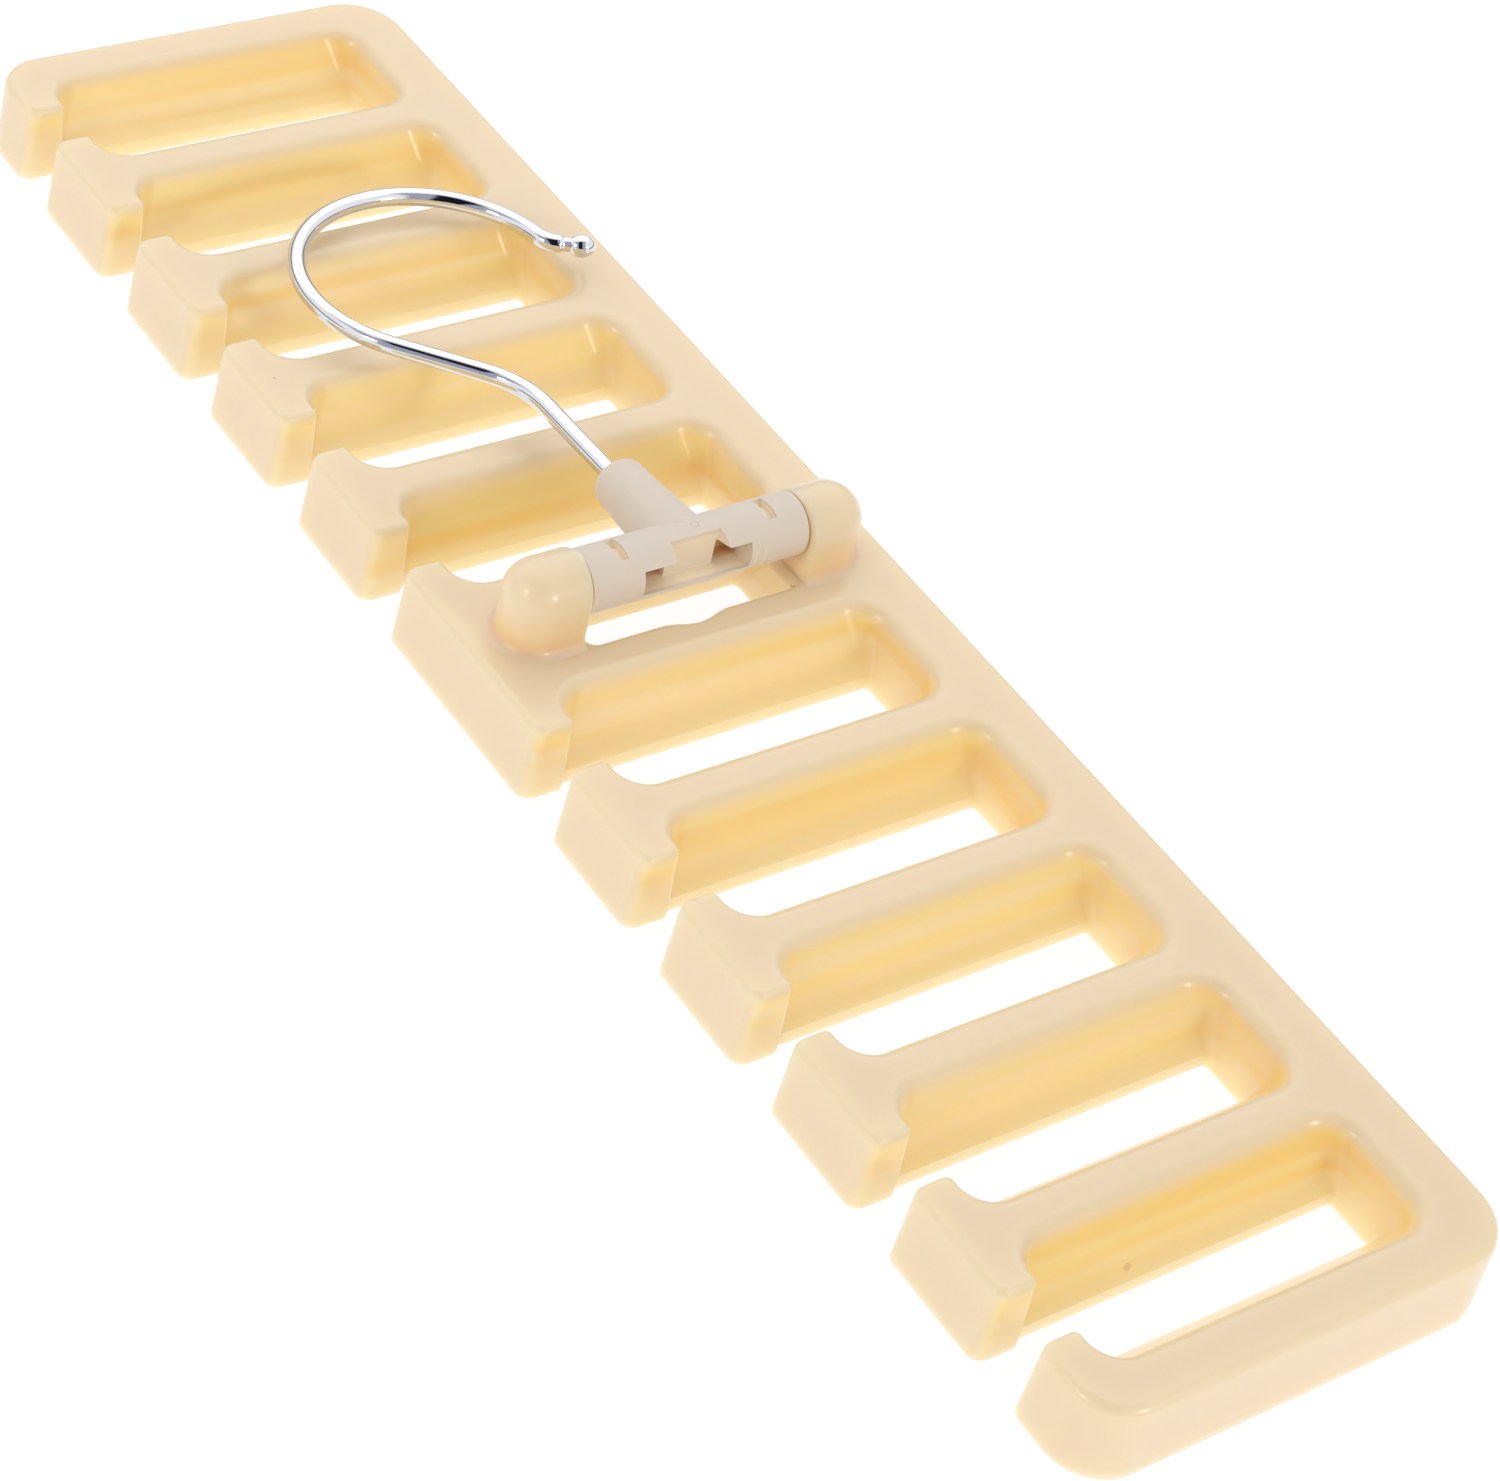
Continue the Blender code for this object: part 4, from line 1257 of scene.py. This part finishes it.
def glossy_only(card, tone_of):
    """The card, glowing in its own tone, seen in reflections and nowhere else."""
    material = bpy.data.materials.new(card.name)
    material.use_nodes = True
    tree = material.node_tree
    tree.nodes.clear()
    place = tree.nodes.new("ShaderNodeTexCoord").outputs["Object"]
    parts = add_node(tree, "ShaderNodeSeparateXYZ", {0: place}).outputs
    glow = add_node(tree, "ShaderNodeEmission", {"Color": tone_of(tree, parts), "Strength": 1.0})
    add_node(tree, "ShaderNodeOutputMaterial", {0: glow.outputs[0]})
    material.cycles.emission_sampling = "NONE"
    card.data.materials.append(material)
    for rays in ("camera", "diffuse", "shadow", "transmission", "volume_scatter"):
        setattr(card, f"visible_{rays}", False)
    return card


def reflected_card():
    """Curved card round the camera's side of the room."""
    bm = bmesh.new()
    rows = []
    for i in range(CARD_STEPS + 1):
        row = []
        for j in range(CARD_STEPS + 1):
            turns = [CARD_REACH[k] * (2 * step / CARD_STEPS - 1) for k, step in enumerate((i, j))]
            away = Vector((math.tan(turns[0]), math.tan(turns[1]), 1.0)).normalized()
            row.append(bm.verts.new(away * CARD_DISTANCE))
        rows.append(row)
    for low, high in zip(rows, rows[1:]):
        for j in range(CARD_STEPS):
            bm.faces.new((low[j], high[j], high[j + 1], low[j + 1]))
    card = object_from_bmesh("studio_card", bm)
    card.rotation_euler = CAMERA_TURN
    return glossy_only(card, card_tone)


def horizon_card():
    """Band round the room at floor level."""
    bm = bmesh.new()
    bmesh.ops.create_cone(
        bm,
        segments=HORIZON_SEGMENTS,
        radius1=HORIZON_DISTANCE,
        radius2=HORIZON_DISTANCE,
        depth=HORIZON_TOP,
        matrix=Matrix.Translation((0.0, 0.0, HORIZON_TOP / 2)),
    )
    return glossy_only(object_from_bmesh("horizon_card", bm), horizon_tone)


class BELTHANGER_OT_stage(bpy.types.Operator):
    """Add the floor, the lamps, the room light and the camera"""

    bl_idname = "belt_hanger.stage"
    bl_label = "Stage"

    def execute(self, context):
        settings = context.scene.belt_hanger_stage
        half = settings.floor_size / 2
        bm = bmesh.new()
        corners = ((-half, -half), (half, -half), (half, half), (-half, half))
        bm.faces.new([bm.verts.new((x, y, -FLOOR_GAP)) for x, y in corners])
        floor = object_from_bmesh("floor", bm)
        floor.data.materials.append(floor_material(settings))
        sky(settings)
        reflected_card()
        horizon_card()
        for lamp in LAMPS:
            soft_lamp(*lamp)
        camera = bpy.data.objects.new("camera", bpy.data.cameras.new("camera"))
        context.scene.collection.objects.link(camera)
        camera.data.lens = CAMERA_LENS
        camera.data.sensor_width = SENSOR_WIDTH
        camera.data.clip_start = CAMERA_NEAR
        camera.location = CAMERA_PLACE
        camera.rotation_euler = CAMERA_TURN
        context.scene.camera = camera
        context.scene.view_settings.view_transform = "Standard"
        return {"FINISHED"}


class BELTHANGER_PT_panel(bpy.types.Panel):
    """Sizes, colours and pieces of the belt hanger"""

    bl_idname = "BELTHANGER_PT_panel"
    bl_label = "Belt Hanger"
    bl_space_type = "VIEW_3D"
    bl_region_type = "UI"
    bl_category = "Belt Hanger"

    def draw(self, context):
        for operator, group in PIECES:
            box = self.layout.box()
            settings = getattr(context.scene, group)
            for name in settings.__annotations__:
                box.prop(settings, name)
            box.operator(operator)


PIECES = (
    ("belt_hanger.comb", "belt_hanger_comb"),
    ("belt_hanger.pivot", "belt_hanger_pivot"),
    ("belt_hanger.hook", "belt_hanger_hook"),
    ("belt_hanger.stage", "belt_hanger_stage"),
)
GROUPS = {
    "belt_hanger_comb": CombSettings,
    "belt_hanger_pivot": PivotSettings,
    "belt_hanger_hook": HookSettings,
    "belt_hanger_stage": StageSettings,
}
CLASSES = (
    *GROUPS.values(),
    BELTHANGER_OT_comb,
    BELTHANGER_OT_pivot,
    BELTHANGER_OT_hook,
    BELTHANGER_OT_stage,
    BELTHANGER_PT_panel,
)


def register():
    for cls in CLASSES:
        bpy.utils.register_class(cls)
    for name, group in GROUPS.items():
        setattr(bpy.types.Scene, name, PointerProperty(type=group))


def unregister():
    for name in GROUPS:
        delattr(bpy.types.Scene, name)
    for cls in reversed(CLASSES):
        bpy.utils.unregister_class(cls)


def main():
    register()
    bpy.ops.belt_hanger.comb()
    bpy.ops.belt_hanger.pivot()
    bpy.ops.belt_hanger.hook()
    bpy.ops.belt_hanger.stage()


if __name__ == "__main__":
    main()
